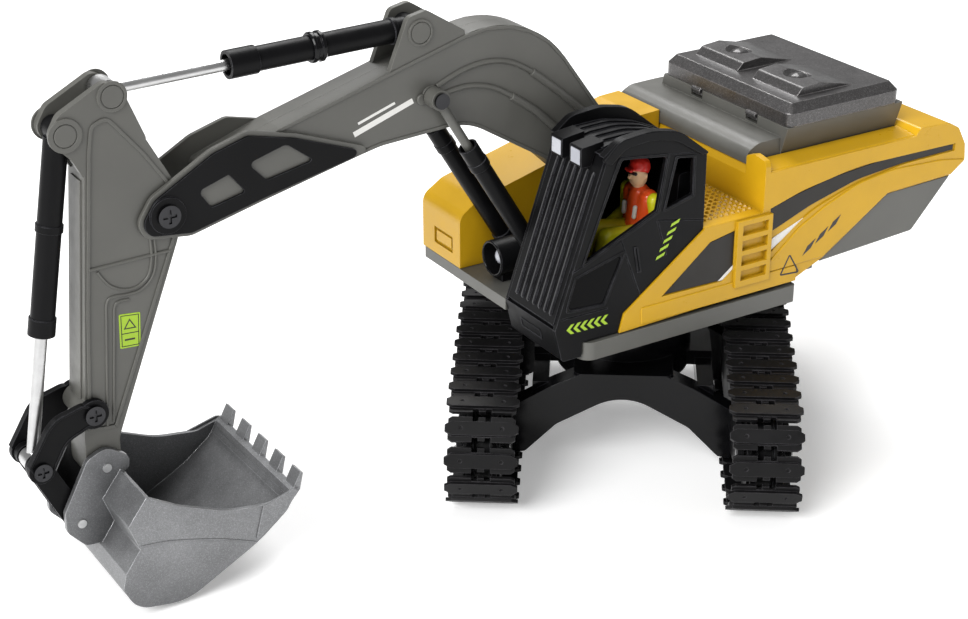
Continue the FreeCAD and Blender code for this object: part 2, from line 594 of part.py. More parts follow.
def hood_cover():
    """Hood over the engine housing: a ramp in front, and a flared seat with the battery well."""
    z0, z1 = BODY_Z + 0.1, COVER_Z - 0.2
    ramp = prism([(HOOD_FRONT, z0), (HOOD_FRONT, 152, 5), (-43, 155.6, 9), (-58, 156.0), (-58, z0)],
                 -58.5, 44.0)
    ramp = cut(ramp, prism([(HOOD_FRONT - WALL, z0 - 1), (HOOD_FRONT - WALL, 150.6, 4), (-44, 153.6, 8),
                            (-59, 154.0), (-59, z0 - 1)], -56.5, 42.0))
    seat_out = across([(-58.5, z0), (44.0, z0), (44.6, 148.5), (COVER_HALF - 0.4, z1),
                       (-COVER_HALF + 0.4, z1), (-50, 156), (-58.5, 156)], -130.0, COVER_X[1])
    seat_in = across([(-56.5, z0 - 1), (42.0, z0 - 1), (42.6, 149), (46.4, z1 - WALL),
                      (-46.4, z1 - WALL), (-48, 154), (-56.5, 154)], -128.0, COVER_X[1] - WALL)
    ramp_room = box(-70.0, COVER_X[1] + 5, -56.5, 42.0, z0 - 1, 153.8)
    x0, x1, half, z_floor = WELL
    well = box(x0, x1, -half, half, z_floor, z1)
    room = box(x0 + WALL, x1 - WALL, -half + WALL, half - WALL, z_floor + WALL, z1 + 1)
    notches = [box(-62.0, COVER_X[1] + 0.1, *sorted((s * 17.0, s * 26.0)), 157.0, z1 + 1) for s in (-1, 1)]
    shell = cut(fuse(ramp, seat_out), seat_in, ramp_room)
    return cut(fuse(shell, well), room, *notches)


def vent(y0, y1):
    """Raised air intake on the battery cover with a round hollow."""
    wedge = prism([(-69, 172.3), (-73, 176.4, 2), (-84, 177.4, 3), (-106, 172.3)], y0, y1)
    middle = (y0 + y1) / 2.0
    scoop = Part.makeSphere(9.5, V(-84, middle, 183.0))
    return cut(wedge, scoop)


def battery_cover():
    """Lid with chamfered edges, hooked at the front and snapped in at the rear."""
    lid = box(COVER_X[0], COVER_X[1], -COVER_HALF, COVER_HALF, COVER_Z, 172.5)
    upright = [e for e in lid.Edges if abs(e.Vertexes[0].Z - e.Vertexes[-1].Z) > 1]
    lid = lid.makeFillet(5.0, upright)
    top = [e for e in lid.Edges if min(v.Z for v in e.Vertexes) > 172]
    lid = lid.makeChamfer(4.2, top)
    room = box(COVER_X[0] + 5, COVER_X[1] - 5, -COVER_HALF + 5, COVER_HALF - 5, COVER_Z - 1, 170.3)
    lid = cut(fuse(lid, vent(-39.0, -6.0), vent(6.0, 39.0)), room)
    hooks = []
    for ya, yb in ((-25.0, -18.0), (18.0, 25.0)):
        knuckle = cyl_y((COVER_X[1], COVER_Z - HINGE_DROP), HINGE_R, ya, yb)
        hooks.append(fuse(box(-60.0, COVER_X[1] - 0.3, ya, yb, 158.6, COVER_Z + 1), knuckle))
    latch = box(COVER_X[0] - 0.1, COVER_X[0] + 1.2, -4.0, 4.0, COVER_Z - 0.1, COVER_Z + 3.0)
    return cut(fuse(lid, *hooks), latch)


def battery_pack():
    """Four cells lying side by side in the well."""
    r, z = 7.1, WELL[3] + WALL + 7.3
    return [fuse(cyl_y((x, z), r, -25.0, 24.0), cyl_y((x, z), 2.8, 24.0, 25.4))
            for x in (-70.7, -85.3, -99.9, -114.5)]


def counterweight():
    """Grey weight under the rear, hollow from above."""
    outline = [(-157.0, 120.4), (-134.0, 95.9, 3), (-74.2, 93.0), (-75.4, 94.1), (-115.6, 119.5)]
    inner = [(-150.0, 121.0), (-133.0, 98.6, 2), (-80.5, 96.2), (-115.0, 118.4), (-116.0, 121.0)]
    return cut(prism(outline, -58.7, 58.7), prism(inner, -56.2, 56.2))


def side_rails():
    """Ledge under each side of the deck, pocketed from below."""
    ledge = plan([(-59, 44), (66.2, 44), (66.2, 60, 6), (-59, 60, 2)], 75.6, 84.5)
    pocket = plan([(-57, 46.5), (61, 46.5), (61, 58, 3), (-57, 58)], 75.0, 82.3)
    flange = box(-57.0, 60.0, 44.0, 46.5, 84.4, DECK_Z0)
    left = cut(fuse(ledge, flange), pocket)
    return [left, left.mirror(V(0, 0, 0), V(0, 1, 0))]


# ---------------------------------------------------------------- cab
CAB_FRONT = [(81.0, 95.0), (54.5, 172.5)]
MAIN_WINDOW = [(46.6, 170.0, 2), (22.0, 166.6, 1.5), (26.5, 141.3, 1), (66.2, 124.3, 1)]
REAR_WINDOW = [(15.6, 164.6, 1), (6.7, 163.2, 1), (6.3, 145.0, 1), (21.2, 141.1, 1)]
LOW_WINDOW = [(69.9, 117.6, 1.5), (44.2, 124.2, 1.5), (54.6, 101.6, 2), (74.7, 102.9, 2)]
GROOVES = [((46.0, 131.0), (77.0, 119.5)), ((46.0, 131.0), (33.5, 99.0)), ((52.4, 99.0), (78.2, 99.4)),
           ((-0.9, 131.0), (26.0, 136.6)), ((26.0, 136.6), (20.0, 118.0)), ((38.5, 126.0), (35.8, 113.0))]


def groove(p, q, y_face):
    """Shallow straight groove in the cab's side, half a millimetre wide."""
    across_line = V(q[1] - p[1], p[0] - q[0], 0).normalize() * 0.35
    points = [(p[0] + across_line.x, p[1] + across_line.y), (q[0] + across_line.x, q[1] + across_line.y),
              (q[0] - across_line.x, q[1] - across_line.y), (p[0] - across_line.x, p[1] - across_line.y)]
    return prism(points, y_face - 0.5, y_face + 0.1)


def cab_shell():
    """Side walls, rear wall, floor and the fairing below the front corner."""
    left = prism([(66.5, 78.0), (77.2, 78.0, 2), (81.2, 94.2), CAB_FRONT[0], CAB_FRONT[1], (-1, 164.2),
                  (-1, 126.3), (43.8, 94.3), (46.3, 85.2), (66.5, 85.2)], CAB_Y1 - WALL, CAB_Y1)
    right = prism([CAB_FRONT[0], CAB_FRONT[1], (-1, 164.2), (-1, 94.5)], CAB_Y0, CAB_Y0 + WALL)
    rear = box(-1.0, 1.0, CAB_Y0, CAB_Y1, 127.2, 164.2)
    low_rear = box(-1.0, 1.0, CAB_Y0, 56.0, 94.5, 127.3)
    floor = box(-1.0, 79.0, CAB_Y0, 56.1, 94.5, 96.5)
    fairing = prism([(81.2, 94.6), (77.2, 78.0, 2), (66.5, 78.0), (66.5, 94.6)], CAB_Y0, CAB_Y1)
    pocket = prism([(78.0, 92.2), (75.2, 77.0), (68.5, 77.0), (68.5, 92.2)], CAB_Y0 + 2, CAB_Y1 - 2)
    x, y = SCREW_PLACES[0]
    boss = cyl_z(x, y, 3.2, 96.4, 104.0)
    body = fuse(left, right, rear, low_rear, floor, fairing, boss)
    windows = [prism(w, CAB_Y1 - 5, CAB_Y1 + 1) for w in (MAIN_WINDOW, REAR_WINDOW)]
    windows.append(prism(LOW_WINDOW, CAB_Y1 - 0.9, CAB_Y1 + 0.1))
    windows.append(prism([(46, 166, 2), (8, 160.5, 2), (8, 136, 2), (60, 128, 2)], CAB_Y0 - 1, CAB_Y0 + 3))
    windows.append(across(rect(23.0, 51.5, 136.0, 158.0, 2.0), -2.0, 2.0))
    grooves = [groove(p, q, CAB_Y1) for p, q in GROOVES]
    return cut(body, pocket, cyl_z(x, y, 1.2, 90, 100), *windows, *grooves)


def cab_front_grille():
    """Slanted front panel with upright ribs."""
    (xa, za), (xb, zb) = CAB_FRONT
    lean = (xb - xa) / (zb - za)
    panel = prism([(xa, za + 1.6), (xb, zb), (xb - 2.2, zb - 0.2), (xa - 2.4, za + 1.6)],
                  CAB_Y0 + WALL + 0.15, CAB_Y1 - WALL - 0.15)
    ribs = []
    for k in range(7):
        y = 23.5 + 4.6 * k
        ribs.append(prism([(xa - 0.5 + lean * 3, za + 4.6), (xa + 0.7 + lean * 4, za + 5.6),
                           (xb + 0.7 - lean * 9, zb - 9.0), (xb - 0.5 - lean * 8, zb - 8.0)], y, y + 1.5))
    return fuse(panel, *ribs)


def cab_roof():
    """Curved roof with two side rims, lengthwise ribs and two lamp boxes."""
    rim = [(57.0, 173.0), (48.4, 179.6, 10), (32.0, 181.0, 30), (16.0, 177.8, 20), (-0.9, 164.5)]
    middle = [(56.0, 172.9), (46.5, 174.6, 10), (32.0, 175.0, 30), (17.5, 172.0, 20), (-0.9, 164.5)]
    room = [(50.0, 171.6), (45.5, 172.4, 8), (32.0, 172.9, 25), (18.5, 170.0, 15), (8.0, 165.6)]
    body = fuse(prism(middle, 20.0, 54.5), prism(rim, CAB_Y0, 20.2), prism(rim, 54.3, CAB_Y1))
    ribs = []
    for k in range(5):
        y = 24.2 + 6.0 * k
        ribs.append(prism([(52.5, 174.3), (46.5, 175.7, 10), (32.0, 176.1, 30), (17.5, 173.1, 20),
                           (3.0, 166.9), (6.0, 166.0), (50.0, 173.0)], y, y + 1.8))
    lamp = [(57.6, 166.5), (63.0, 166.5, 0.8), (63.0, 175.8, 0.8), (51.0, 177.3), (51.0, 172.8),
            (55.4, 173.0)]
    lamps = [prism(lamp, y - 4.5, y + 4.5) for y in LAMP_Y]
    pockets = [box(62.0, 64.0, y - 3.5, y + 3.5, 167.7, 174.7) for y in LAMP_Y]
    return cut(fuse(body, *ribs, *lamps), prism(room, 21.5, 53.0), *pockets)


LAMP_Y = (30.0, 45.0)
HEADLIGHT = (ARM_Y - 0.6, 105.7)


def lamp_lenses():
    """Two square lenses on the roof and the round lamp in the headlight tube."""
    squares = [box(62.0, 63.2, y - 3.45, y + 3.45, 167.75, 174.65) for y in LAMP_Y]
    y, z = HEADLIGHT
    lamp = fuse(rod((61.0, y, z), (68.5, y, z), 4.3), Part.makeSphere(4.3, V(68.5, y, z)))
    return squares + [lamp]


def headlight_tube():
    """Tube light in front of the boom on a short foot."""
    y, z = HEADLIGHT
    tube = cut(rod((58.6, y, z), (75.0, y, z), 8.8), rod((61.0, y, z), (76.0, y, z), 7.5))
    foot = box(61.0, 72.0, y - 4, y + 4, DECK_Z1, z - 8.0)
    return fuse(tube, foot)


def seat():
    """Driver's seat: base, cushion and back."""
    base = box(6.0, 28.0, 28.0, 50.0, 96.6, 113.0)
    cushion = prism([(4, 113), (31, 113), (31, 118.4, 3), (4, 118.4)], 26.5, 51.5)
    back = prism([(3, 115), (10.5, 115), (8.5, 153, 2), (2.0, 153, 1)], 27.5, 50.5)
    return fuse(base, cushion, back)


def control_levers():
    """Console with two levers in front of the seat."""
    console = box(64.5, 72.0, 24.0, 52.0, 96.6, 104.0)
    levers = []
    for y in (27.0, 49.0):
        levers.append(rod((66.5, y, 103.5), (56.0, y, 118.0), 0.9))
        levers.append(Part.makeSphere(2.0, V(56.0, y, 118.0)))
    return fuse(console, *levers)


DRIVER_Y = 39.0


def driver():
    """Seated figure, plain: its finished shape is modelled as a moulded toy figure."""
    y = DRIVER_Y
    torso = prism([(16.5, 119.0), (30, 119.0), (28.5, 146, 5), (14.5, 146, 5)], y - 7.0, y + 7.0)
    head = fuse(Part.makeSphere(6.2, V(23.5, y, 154.0)), cyl_z(23.0, y, 3.0, 144.0, 151.0),
                cyl_z(24.0, y, 6.4, 156.0, 160.5))
    parts = [torso, head]
    for s in (-1, 1):
        hip, knee = (25.0, y + s * 4.2, 122.6), (46.0, y + s * 5.4, 126.5)
        foot, toe = (50.0, y + s * 5.4, 103.0), (56.0, y + s * 5.4, 101.5)
        shoulder, elbow = (21.5, y + s * 8.0, 142.0), (19.5, y + s * 11.5, 129.0)
        hand = (32.0, y + s * 11.0, 124.5)
        parts += [rod(hip, knee, 4.0), Part.makeSphere(4.0, V(*knee)), rod(knee, foot, 3.2),
                  Part.makeSphere(3.3, V(*foot)), rod(foot, toe, 3.0), Part.makeSphere(3.0, V(*toe)),
                  Part.makeSphere(3.2, V(*shoulder)), rod(shoulder, elbow, 2.7),
                  Part.makeSphere(2.7, V(*elbow)), rod(elbow, hand, 2.3), Part.makeSphere(2.8, V(*hand))]
    return fuse(*parts)


# ---------------------------------------------------------------- inside the upper structure
def circuit_board():
    board = box(0.0, 32.0, -54.0, -31.0, 97.2, 98.8)
    chip = box(10.0, 20.0, -46.0, -38.0, 98.8, 100.4)
    can = cyl_z(6.0, -38.0, 3.0, 98.8, 107.0)
    plug = box(24.0, 29.0, -48.0, -38.0, 98.8, 104.0)
    return fuse(board, chip, can, plug)


def swing_motor():
    x, y = SWING_PINION_AT
    return fuse(cyl_z(x, y, 7.5, DECK_Z1 + 0.1, 118.0), cyl_z(x, y, 0.9, 66.8, DECK_Z1 + 0.2))


def swing_pinion():
    x, y = SWING_PINION_AT
    phase = math.radians(SWING_PINION_ANGLE) + math.pi + math.pi / SWING_PINION_TEETH
    pinion = gear_z(x, y, SWING_PINION_TEETH, SWING_MODULE, 66.6, 70.6, phase)
    return cut(pinion, cyl_z(x, y, 0.9 + RUN, 60, 80))


def house_pins():
    """Pins of the boom foot and of the boom cylinders' lower ends."""
    foot = fuse(cyl_y(BOOM_FOOT, PIN_R + 0.6, ARM_Y - LUG_OUT, ARM_Y + LUG_OUT),
                cyl_y(BOOM_FOOT, 5.0, ARM_Y + LUG_OUT, ARM_Y + LUG_OUT + 1.5),
                cyl_y(BOOM_FOOT, 5.0, ARM_Y - LUG_OUT - 1.5, ARM_Y - LUG_OUT))
    base = cyl_y(BOOM_CYL_BASE, PIN_R, ARM_Y - 17.6, ARM_Y + 17.6)
    return [foot, base]


def house_screws():
    return [screw_z(x, y, DECK_Z0 - 1.4, 1, 2.6, 1.2, 10.0) for x, y in SCREW_PLACES]


# ---------------------------------------------------------------- cylinders
def station(p, q, s):
    """Point at distance s from p toward q, in (x, z)."""
    reach = math.dist(p, q)
    return (p[0] + (q[0] - p[0]) * s / reach, p[1] + (q[1] - p[1]) * s / reach)


def stage(p, q, y, s0, s1, r):
    a, b = station(p, q, s0), station(p, q, s1)
    return rod((a[0], y, a[1]), (b[0], y, b[1]), r)


def barrel(p, q, y, stages, bore, mouth, eye_r, eye_half, pin_r):
    """Barrel pivoting at p and pointing at q; stages are (start, end, radius)."""
    body = fuse(*[stage(p, q, y, *part) for part in stages], cyl_y(p, eye_r, y - eye_half, y + eye_half))
    return cut(body, stage(p, q, y, eye_r + 6.0, mouth + 1.0, bore),
               cyl_y(p, pin_r + RUN, y - 20, y + 20))


def piston(p, q, y, length, r, eye_r, eye_half, pin_r):
    """Rod pivoting at q and reaching back toward p."""
    reach = math.dist(p, q)
    body = fuse(stage(p, q, y, reach - length, reach - 1.0, r), cyl_y(q, eye_r, y - eye_half, y + eye_half))
    return cut(body, cyl_y(q, pin_r + RUN, y - 20, y + 20))


def boom_cylinder_barrels():
    stages = [(2, 74, 4.4), (9, 13, 4.9), (70, 74, 4.9), (74, 83, 4.6)]
    return [barrel(BOOM_CYL_BASE, BOOM_CYL_END, ARM_Y + s * BOOM_CYL_Y, stages, 3.8, 83.0, 4.6, 3.4, PIN_R)
            for s in (1, -1)]


def boom_cylinder_rods():
    return [piston(BOOM_CYL_BASE, BOOM_CYL_END, ARM_Y + s * BOOM_CYL_Y, 50.0, 2.2, 4.6, 3.6, PIN_R)
            for s in (1, -1)]


def arm_cylinder_barrel():
    stages = [(3, 76, 5.4), (8, 10, 6.0), (75, 88, 6.2)]
    return barrel(ARM_CYL_BASE, ARM_CYL_END, ARM_Y, stages, 4.7, 88.0, 5.4, 6.0, PIN_R)


def arm_cylinder_rod():
    return piston(ARM_CYL_BASE, ARM_CYL_END, ARM_Y, 78.0, 2.5, 5.5, 4.6, PIN_R)


def bucket_cylinder_barrel():
    stages = [(3, 82, 5.2), (40, 43, 5.8), (81, 88.5, 5.8)]
    return barrel(BUCKET_CYL_BASE, ROCKER_END, ARM_Y, stages, 4.0, 88.5, 5.0, 4.6, PIN_R)


def bucket_cylinder_rod():
    return piston(BUCKET_CYL_BASE, ROCKER_END, ARM_Y, 67.5, 2.7, 4.5, 4.0, PIN_R)


# ---------------------------------------------------------------- boom
BOOM = [(222, 161, 3), (222, 184, 3), (188, 196, 8), (63, 231, 50), (-20, 117), (-17, 105), (-3, 104),
        (50.5, 153.7, 60), (95, 181, 30), (139.6, 178.5, 40)]
EAR = [(135.5, 207.5), (124.5, 234, 4), (115, 236, 5), (96, 224), (94, 214), (130, 203)]
FORK = [(256, 167, 7), (248.7, 178, 8), (221, 193.5, 14), (204, 198.5, 6), (181, 193, 20), (143, 178.8, 2),
        (197.8, 166, 40), (232, 157.5, 10), (252, 160, 6)]


def boom_half(s):
    """Half shell of the boom with its fork plate, cylinder ear and bosses; s is +1 for the left one."""
    seam, outer = ARM_Y + s * SPLIT, ARM_Y + s * BOOM_HALF
    ya, yb = sorted((seam, outer))
    wire = rounded_wire(BOOM, lambda p: V(p.x, ya, p.y))
    shell = fuse(Part.Face(wire).extrude(V(0, yb - ya, 0)), cyl_y(BOOM_FOOT, 10.0, ya, yb))
    inner = wire.makeOffset2D(-2.2)
    span = BOOM_HALF - 2.2
    inner.translate(V(0, 0 if s > 0 else yb - ya - span, 0))
    shell = cut(shell, Part.Face(inner).extrude(V(0, span, 0)))
    boss = [cyl_y(BOOM_FOOT, 6.0, ya, yb), cyl_y(BOOM_CYL_END, 5.0, ya, yb)]
    ear = prism(EAR, *sorted((ARM_Y + s * 6.4, outer)))
    ring = cyl_y(ARM_CYL_BASE, 6.0, *sorted((outer - s * 0.1, outer + s * 0.8)))
    fork = prism(FORK, *sorted((outer - s * 0.01, ARM_Y + s * FORK_HALF)))
    collar = cyl_y(BOOM_CYL_END, 4.4, *sorted((outer - s * 0.1, outer + s * 0.7)))
    body = fuse(shell, ear, ring, fork, collar, *boss)
    return cut(body, cyl_y(BOOM_FOOT, PIN_R + 0.6 + RUN, ARM_Y - 20, ARM_Y + 20),
               cyl_y(BOOM_CYL_END, PIN_R, ARM_Y - 20, ARM_Y + 20),
               cyl_y(ARM_CYL_BASE, PIN_R, ARM_Y - 20, ARM_Y + BOOM_HALF - CAP),
               ring_groove(ARM_CYL_BASE, ARM_Y + BOOM_HALF + 0.8),
               cyl_y(STICK_PIVOT, 3.0, ARM_Y - 20, ARM_Y + 20))


COVER_WINDOWS = [[(228.1, 176.9, 2), (213.9, 181.5, 1), (206.5, 172.2, 1), (222.6, 168.4, 2)],
                 [(204.9, 184.4, 2), (186.7, 189.6, 4), (173.9, 179.8, 1), (196.4, 175.3, 2)]]


def tip_cover_plates():
    """Black plates over the fork, with two windows each and a boss around the stick pivot."""
    outline = [(254, 167, 6), (247.5, 176.6, 8), (220.5, 191.8, 14), (204, 196.6, 5), (182, 191.3, 20),
               (148, 178.6, 2), (198, 167.6, 40), (232, 159.2, 9), (250.5, 161.4, 5)]

    def one():
        plate = prism(outline, ARM_Y + FORK_HALF, ARM_Y + FORK_HALF + 1.2)
        boss = cyl_y(STICK_PIVOT, 8.0, ARM_Y + FORK_HALF, ARM_Y + FORK_HALF + 2.4)
        windows = [prism(w, ARM_Y + FORK_HALF - 1, ARM_Y + FORK_HALF + 3) for w in COVER_WINDOWS]
        return cut(fuse(plate, boss), cyl_y(STICK_PIVOT, 3.0, ARM_Y, ARM_Y + 20), *windows)
    return on_both_sides(one)


def ring_groove(xz, face):
    """Round groove in the outer face of a pivot cap."""
    return cut(cyl_y(xz, GROOVE_R + 0.5, face - 0.4, face + 0.1), cyl_y(xz, GROOVE_R, face - 1.0, face + 1.0))


def blind_pin(xz, blind, reach):
    """Pin from the right side that ends behind the plain cap on the left."""
    return screw_y(xz, ARM_Y - reach - 1.2, 1, 3.6, PIN_R, reach + blind, 1.2)


def headed_pin(xz, r, reach, head_r, head):
    """Pin through the arm's middle plane with a cross-head on each end; reach is to the head's underside."""
    left = screw_y(xz, ARM_Y + reach + head, -1, head_r, r, reach, head)
    return fuse(left, left.mirror(V(0, ARM_Y, 0), V(0, 1, 0)))


def boom_pins():
    peg = fuse(cyl_y(BOOM_CYL_END, PIN_R, ARM_Y - 18.4, ARM_Y + 18.4),
               cyl_y(BOOM_CYL_END, 3.6, ARM_Y + 18.4, ARM_Y + 19.6),
               cyl_y(BOOM_CYL_END, 3.6, ARM_Y - 19.6, ARM_Y - 18.4))
    return [headed_pin(STICK_PIVOT, 3.0, FORK_HALF + 2.4, 5.0, 1.4), peg,
            blind_pin(ARM_CYL_BASE, BOOM_HALF - CAP, BOOM_HALF + 0.8)]


# ---------------------------------------------------------------- stick
STICK = [(274, 209), (286, 75, 3), (286.5, 60), (270.5, 60), (270.5, 71.4, 10), (237.6, 155.4, 14),
         (233.6, 168, 6), (238, 184, 16), (249, 205)]
STICK_BRACKET = [(251, 196), (247.5, 203, 4), (256.5, 226, 3), (263, 230.5, 5), (284, 219.5, 6),
                 (289.5, 210, 6), (280, 200, 4), (276, 192)]


def stick():
    """Hollow arm with a bracket for both cylinders on top and bosses for its three pins."""
    wire = rounded_wire(STICK, lambda p: V(p.x, ARM_Y - STICK_HALF, p.y))
    body = Part.Face(wire).extrude(V(0, 2 * STICK_HALF, 0))
    body = fuse(body, cyl_y(BUCKET_PIVOT, 8.0, ARM_Y - STICK_HALF, ARM_Y + STICK_HALF),
                cyl_y(STICK_PIVOT, 9.0, ARM_Y - STICK_HALF, ARM_Y + STICK_HALF))
    inner = wire.makeOffset2D(-2.2)
    inner.translate(V(0, 2.2, 0))
    hollow = Part.Face(inner).extrude(V(0, 2 * STICK_HALF - 4.4, 0))
    bosses = [cyl_y(p, 6.0, ARM_Y - STICK_HALF, ARM_Y + STICK_HALF)
              for p in (STICK_PIVOT, ROCKER_PIVOT, BUCKET_PIVOT)]
    body = fuse(cut(body, hollow), *bosses)
    brackets = on_both_sides(lambda: prism(STICK_BRACKET, ARM_Y + 5.2, ARM_Y + STICK_HALF))
    rings = []
    for xz, r in ((ARM_CYL_END, 6.4), (BUCKET_CYL_BASE, 7.2)):
        rings += on_both_sides(lambda: cyl_y(xz, r, ARM_Y + STICK_HALF - 0.1, ARM_Y + STICK_HALF + 0.8))
    body = fuse(body, *brackets, *rings)
    slot = prism([(246, 206), (262, 206), (268, 199), (300, 199), (300, 240), (246, 240)],
                 ARM_Y - 5.2, ARM_Y + 5.2)
    holes = [cyl_y(STICK_PIVOT, 3.0 + RUN, ARM_Y - 20, ARM_Y + 20),
             cyl_y(ROCKER_PIVOT, PIN_R, ARM_Y - 20, ARM_Y + 20),
             cyl_y(BUCKET_PIVOT, PIN_R + RUN, ARM_Y - 20, ARM_Y + 20)]
    for xz in (ARM_CYL_END, BUCKET_CYL_BASE):
        holes.append(cyl_y(xz, PIN_R, ARM_Y - 20, ARM_Y + STICK_HALF - CAP))
        holes.append(ring_groove(xz, ARM_Y + STICK_HALF + 0.8))
    return cut(body, slot, *holes)


def stick_pins():
    return [blind_pin(ARM_CYL_END, STICK_HALF - CAP, STICK_HALF + 0.8),
            blind_pin(BUCKET_CYL_BASE, STICK_HALF - CAP, STICK_HALF + 0.8),
            headed_pin(ROCKER_PIVOT, PIN_R, 12.4, 4.4, 1.4)]


# ---------------------------------------------------------------- bucket and its linkage
ROCKER = [(279, 82), (284, 93.4, 5), (301, 89, 14), (312.6, 70), (308, 61.6, 3), (301.5, 66), (295, 77.5, 10),
          (285, 81.6)]


def rocker_levers():
    def one():
        plate = fuse(prism(ROCKER, ARM_Y + 9.2, ARM_Y + 12.2),
                     cyl_y(ROCKER_PIVOT, 6.6, ARM_Y + 9.2, ARM_Y + 12.2),
                     cyl_y(ROCKER_END, 5.8, ARM_Y + 9.2, ARM_Y + 12.2))
        return cut(plate, cyl_y(ROCKER_PIVOT, PIN_R + RUN, ARM_Y, ARM_Y + 20),
                   cyl_y(ROCKER_END, PIN_R, ARM_Y, ARM_Y + 20))
    return on_both_sides(one)


def rocker_pins():
    return [headed_pin(ROCKER_END, PIN_R, 12.3, 4.0, 1.4)]


def bucket_link():
    """H-shaped link between the rockers and the bucket ears."""
    plates = on_both_sides(lambda: fuse(
        prism([(302.6, 69), (311.4, 65), (297, 34), (287.4, 38.6)], ARM_Y + 4.8, ARM_Y + 8.4),
        cyl_y(ROCKER_END, 5.0, ARM_Y + 4.8, ARM_Y + 8.4), cyl_y(LINK_PIN, 5.0, ARM_Y + 4.8, ARM_Y + 8.4)))
    web = prism([(299.4, 56.0), (303.0, 54.4), (299.4, 46.6), (295.8, 48.2)], ARM_Y - 5, ARM_Y + 5)
    link = fuse(web, *plates)
    return cut(link, cyl_y(ROCKER_END, PIN_R + RUN, ARM_Y - 20, ARM_Y + 20),
               cyl_y(LINK_PIN, 2.4, ARM_Y - 20, ARM_Y + 20))


EAR_FACE = 11.8                   # outer face of the bucket's ears, from the middle plane


def bucket_pins():
    """Plain steel pins through the bucket's ears: its pivot, and the thinner one for the link."""
    pivot = cyl_y(BUCKET_PIVOT, PIN_R, ARM_Y - EAR_FACE - 0.5, ARM_Y + EAR_FACE + 0.5)
    link = fuse(cyl_y(LINK_PIN, 1.4, ARM_Y - EAR_FACE, ARM_Y + EAR_FACE),
                cyl_y(LINK_PIN, PIN_R, ARM_Y + EAR_FACE, ARM_Y + EAR_FACE + 0.5),
                cyl_y(LINK_PIN, PIN_R, ARM_Y - EAR_FACE - 0.5, ARM_Y - EAR_FACE))
    return [pivot, link]


BUCKET = [(272.8, 57.5), (281.8, 45.8, 1), (277.4, 33.4, 1), (284.6, 23.4, 1), (286.4, 16, 4),
          (281, 4.6, 12), (258, 0.8, 26), (222, 19.5, 60), (208, 30.5, 10), (202, 40),
          (216, 36.2, 12), (236, 39.0, 40), (258, 48.6, 30)]
EAR_OUTLINE = [(287, 66, 6), (278, 70, 7), (268, 63, 4), (268.6, 57.8), (273.6, 54), (279.4, 45.6),
               (275.4, 33.4), (281.5, 24.5), (291, 25, 4), (299, 34, 5), (299, 43.5, 4)]
TOOTH = [(208.6, 32.8), (203.0, 40.2), (199.6, 46.6), (198.4, 45.8), (200.2, 38.0), (206.8, 30.6)]


def bucket():
    """Shell of the bucket with stepped back, five teeth and two ears."""
    y0, y1 = ARM_Y - BUCKET_HALF, ARM_Y + BUCKET_HALF
    wire = rounded_wire(BUCKET, lambda p: V(p.x, y0, p.y))
    body = Part.Face(wire).extrude(V(0, y1 - y0, 0))
    inner = wire.makeOffset2D(-WALL)
    inner.translate(V(0, WALL, 0))
    hollow = Part.Face(inner).extrude(V(0, y1 - y0 - 2 * WALL, 0))
    mouth = prism([(203.9, 41.5), (216, 39), (236, 42), (258, 52), (270.6, 61), (270.9, 56.6), (276, 50),
                   (258, 44), (236, 34), (216, 30), (208, 34.2)], y0 + WALL, y1 - WALL)
    teeth = [prism(TOOTH, y - 4.0, y + 4.0) for y in [ARM_Y + 17.0 * k for k in range(-2, 3)]]
    ears = on_both_sides(lambda: prism(EAR_OUTLINE, ARM_Y + 9.3, ARM_Y + EAR_FACE))
    body = fuse(cut(body, hollow, mouth), *teeth, *ears)
    return cut(body, cyl_y(BUCKET_PIVOT, PIN_R, ARM_Y - 20, ARM_Y + 20),
               cyl_y(BUCKET_PIVOT, 8.8, ARM_Y - 9.25, ARM_Y + 9.25),
               cyl_y(LINK_PIN, 1.4, ARM_Y - 20, ARM_Y + 20))


# ---------------------------------------------------------------- every node
SIDES = {"left": 1, "right": -1}

put("chassis_frame", chassis_frame())
put("belly_cover", belly_cover())
put("power_switch", power_switch())
put("drive_motors", *drive_motors())
put("axle_pins", *axle_pins())
put("undercarriage_screws", *undercarriage_screws())
for side_name, side in SIDES.items():
    put("track_frame_" + side_name, track_frame(side))
    put("track_links_" + side_name, *track_links(side))
    put("sprocket_" + side_name, sprocket(side))
    put("idler_" + side_name, idler(side))
    for place, x_roller in ROAD_ROLLERS.items():
        put("road_roller_%s_%s" % (place, side_name), road_roller(side, x_roller))
    put("carrier_roller_" + side_name, carrier_roller(side))
    put("motor_pinion_" + side_name, motor_pinion(side))

put("deck", deck())
put("left_body_shell", left_body_shell())
put("right_body_shell", right_body_shell())
put("hood_cover", hood_cover())
put("battery_cover", battery_cover())
put("battery_pack", *battery_pack())
put("counterweight", counterweight())
put("side_rails", *side_rails())
put("cab_shell", cab_shell())
put("cab_front_grille", cab_front_grille())
put("cab_roof", cab_roof())
put("lamp_lenses", *lamp_lenses())
put("seat", seat())
put("control_levers", control_levers())
put("driver", driver())
put("headlight_tube", headlight_tube())
put("circuit_board", circuit_board())
put("swing_motor", swing_motor())
put("swing_pinion", swing_pinion())
put("house_pins", *house_pins())
put("house_screws", *house_screws())

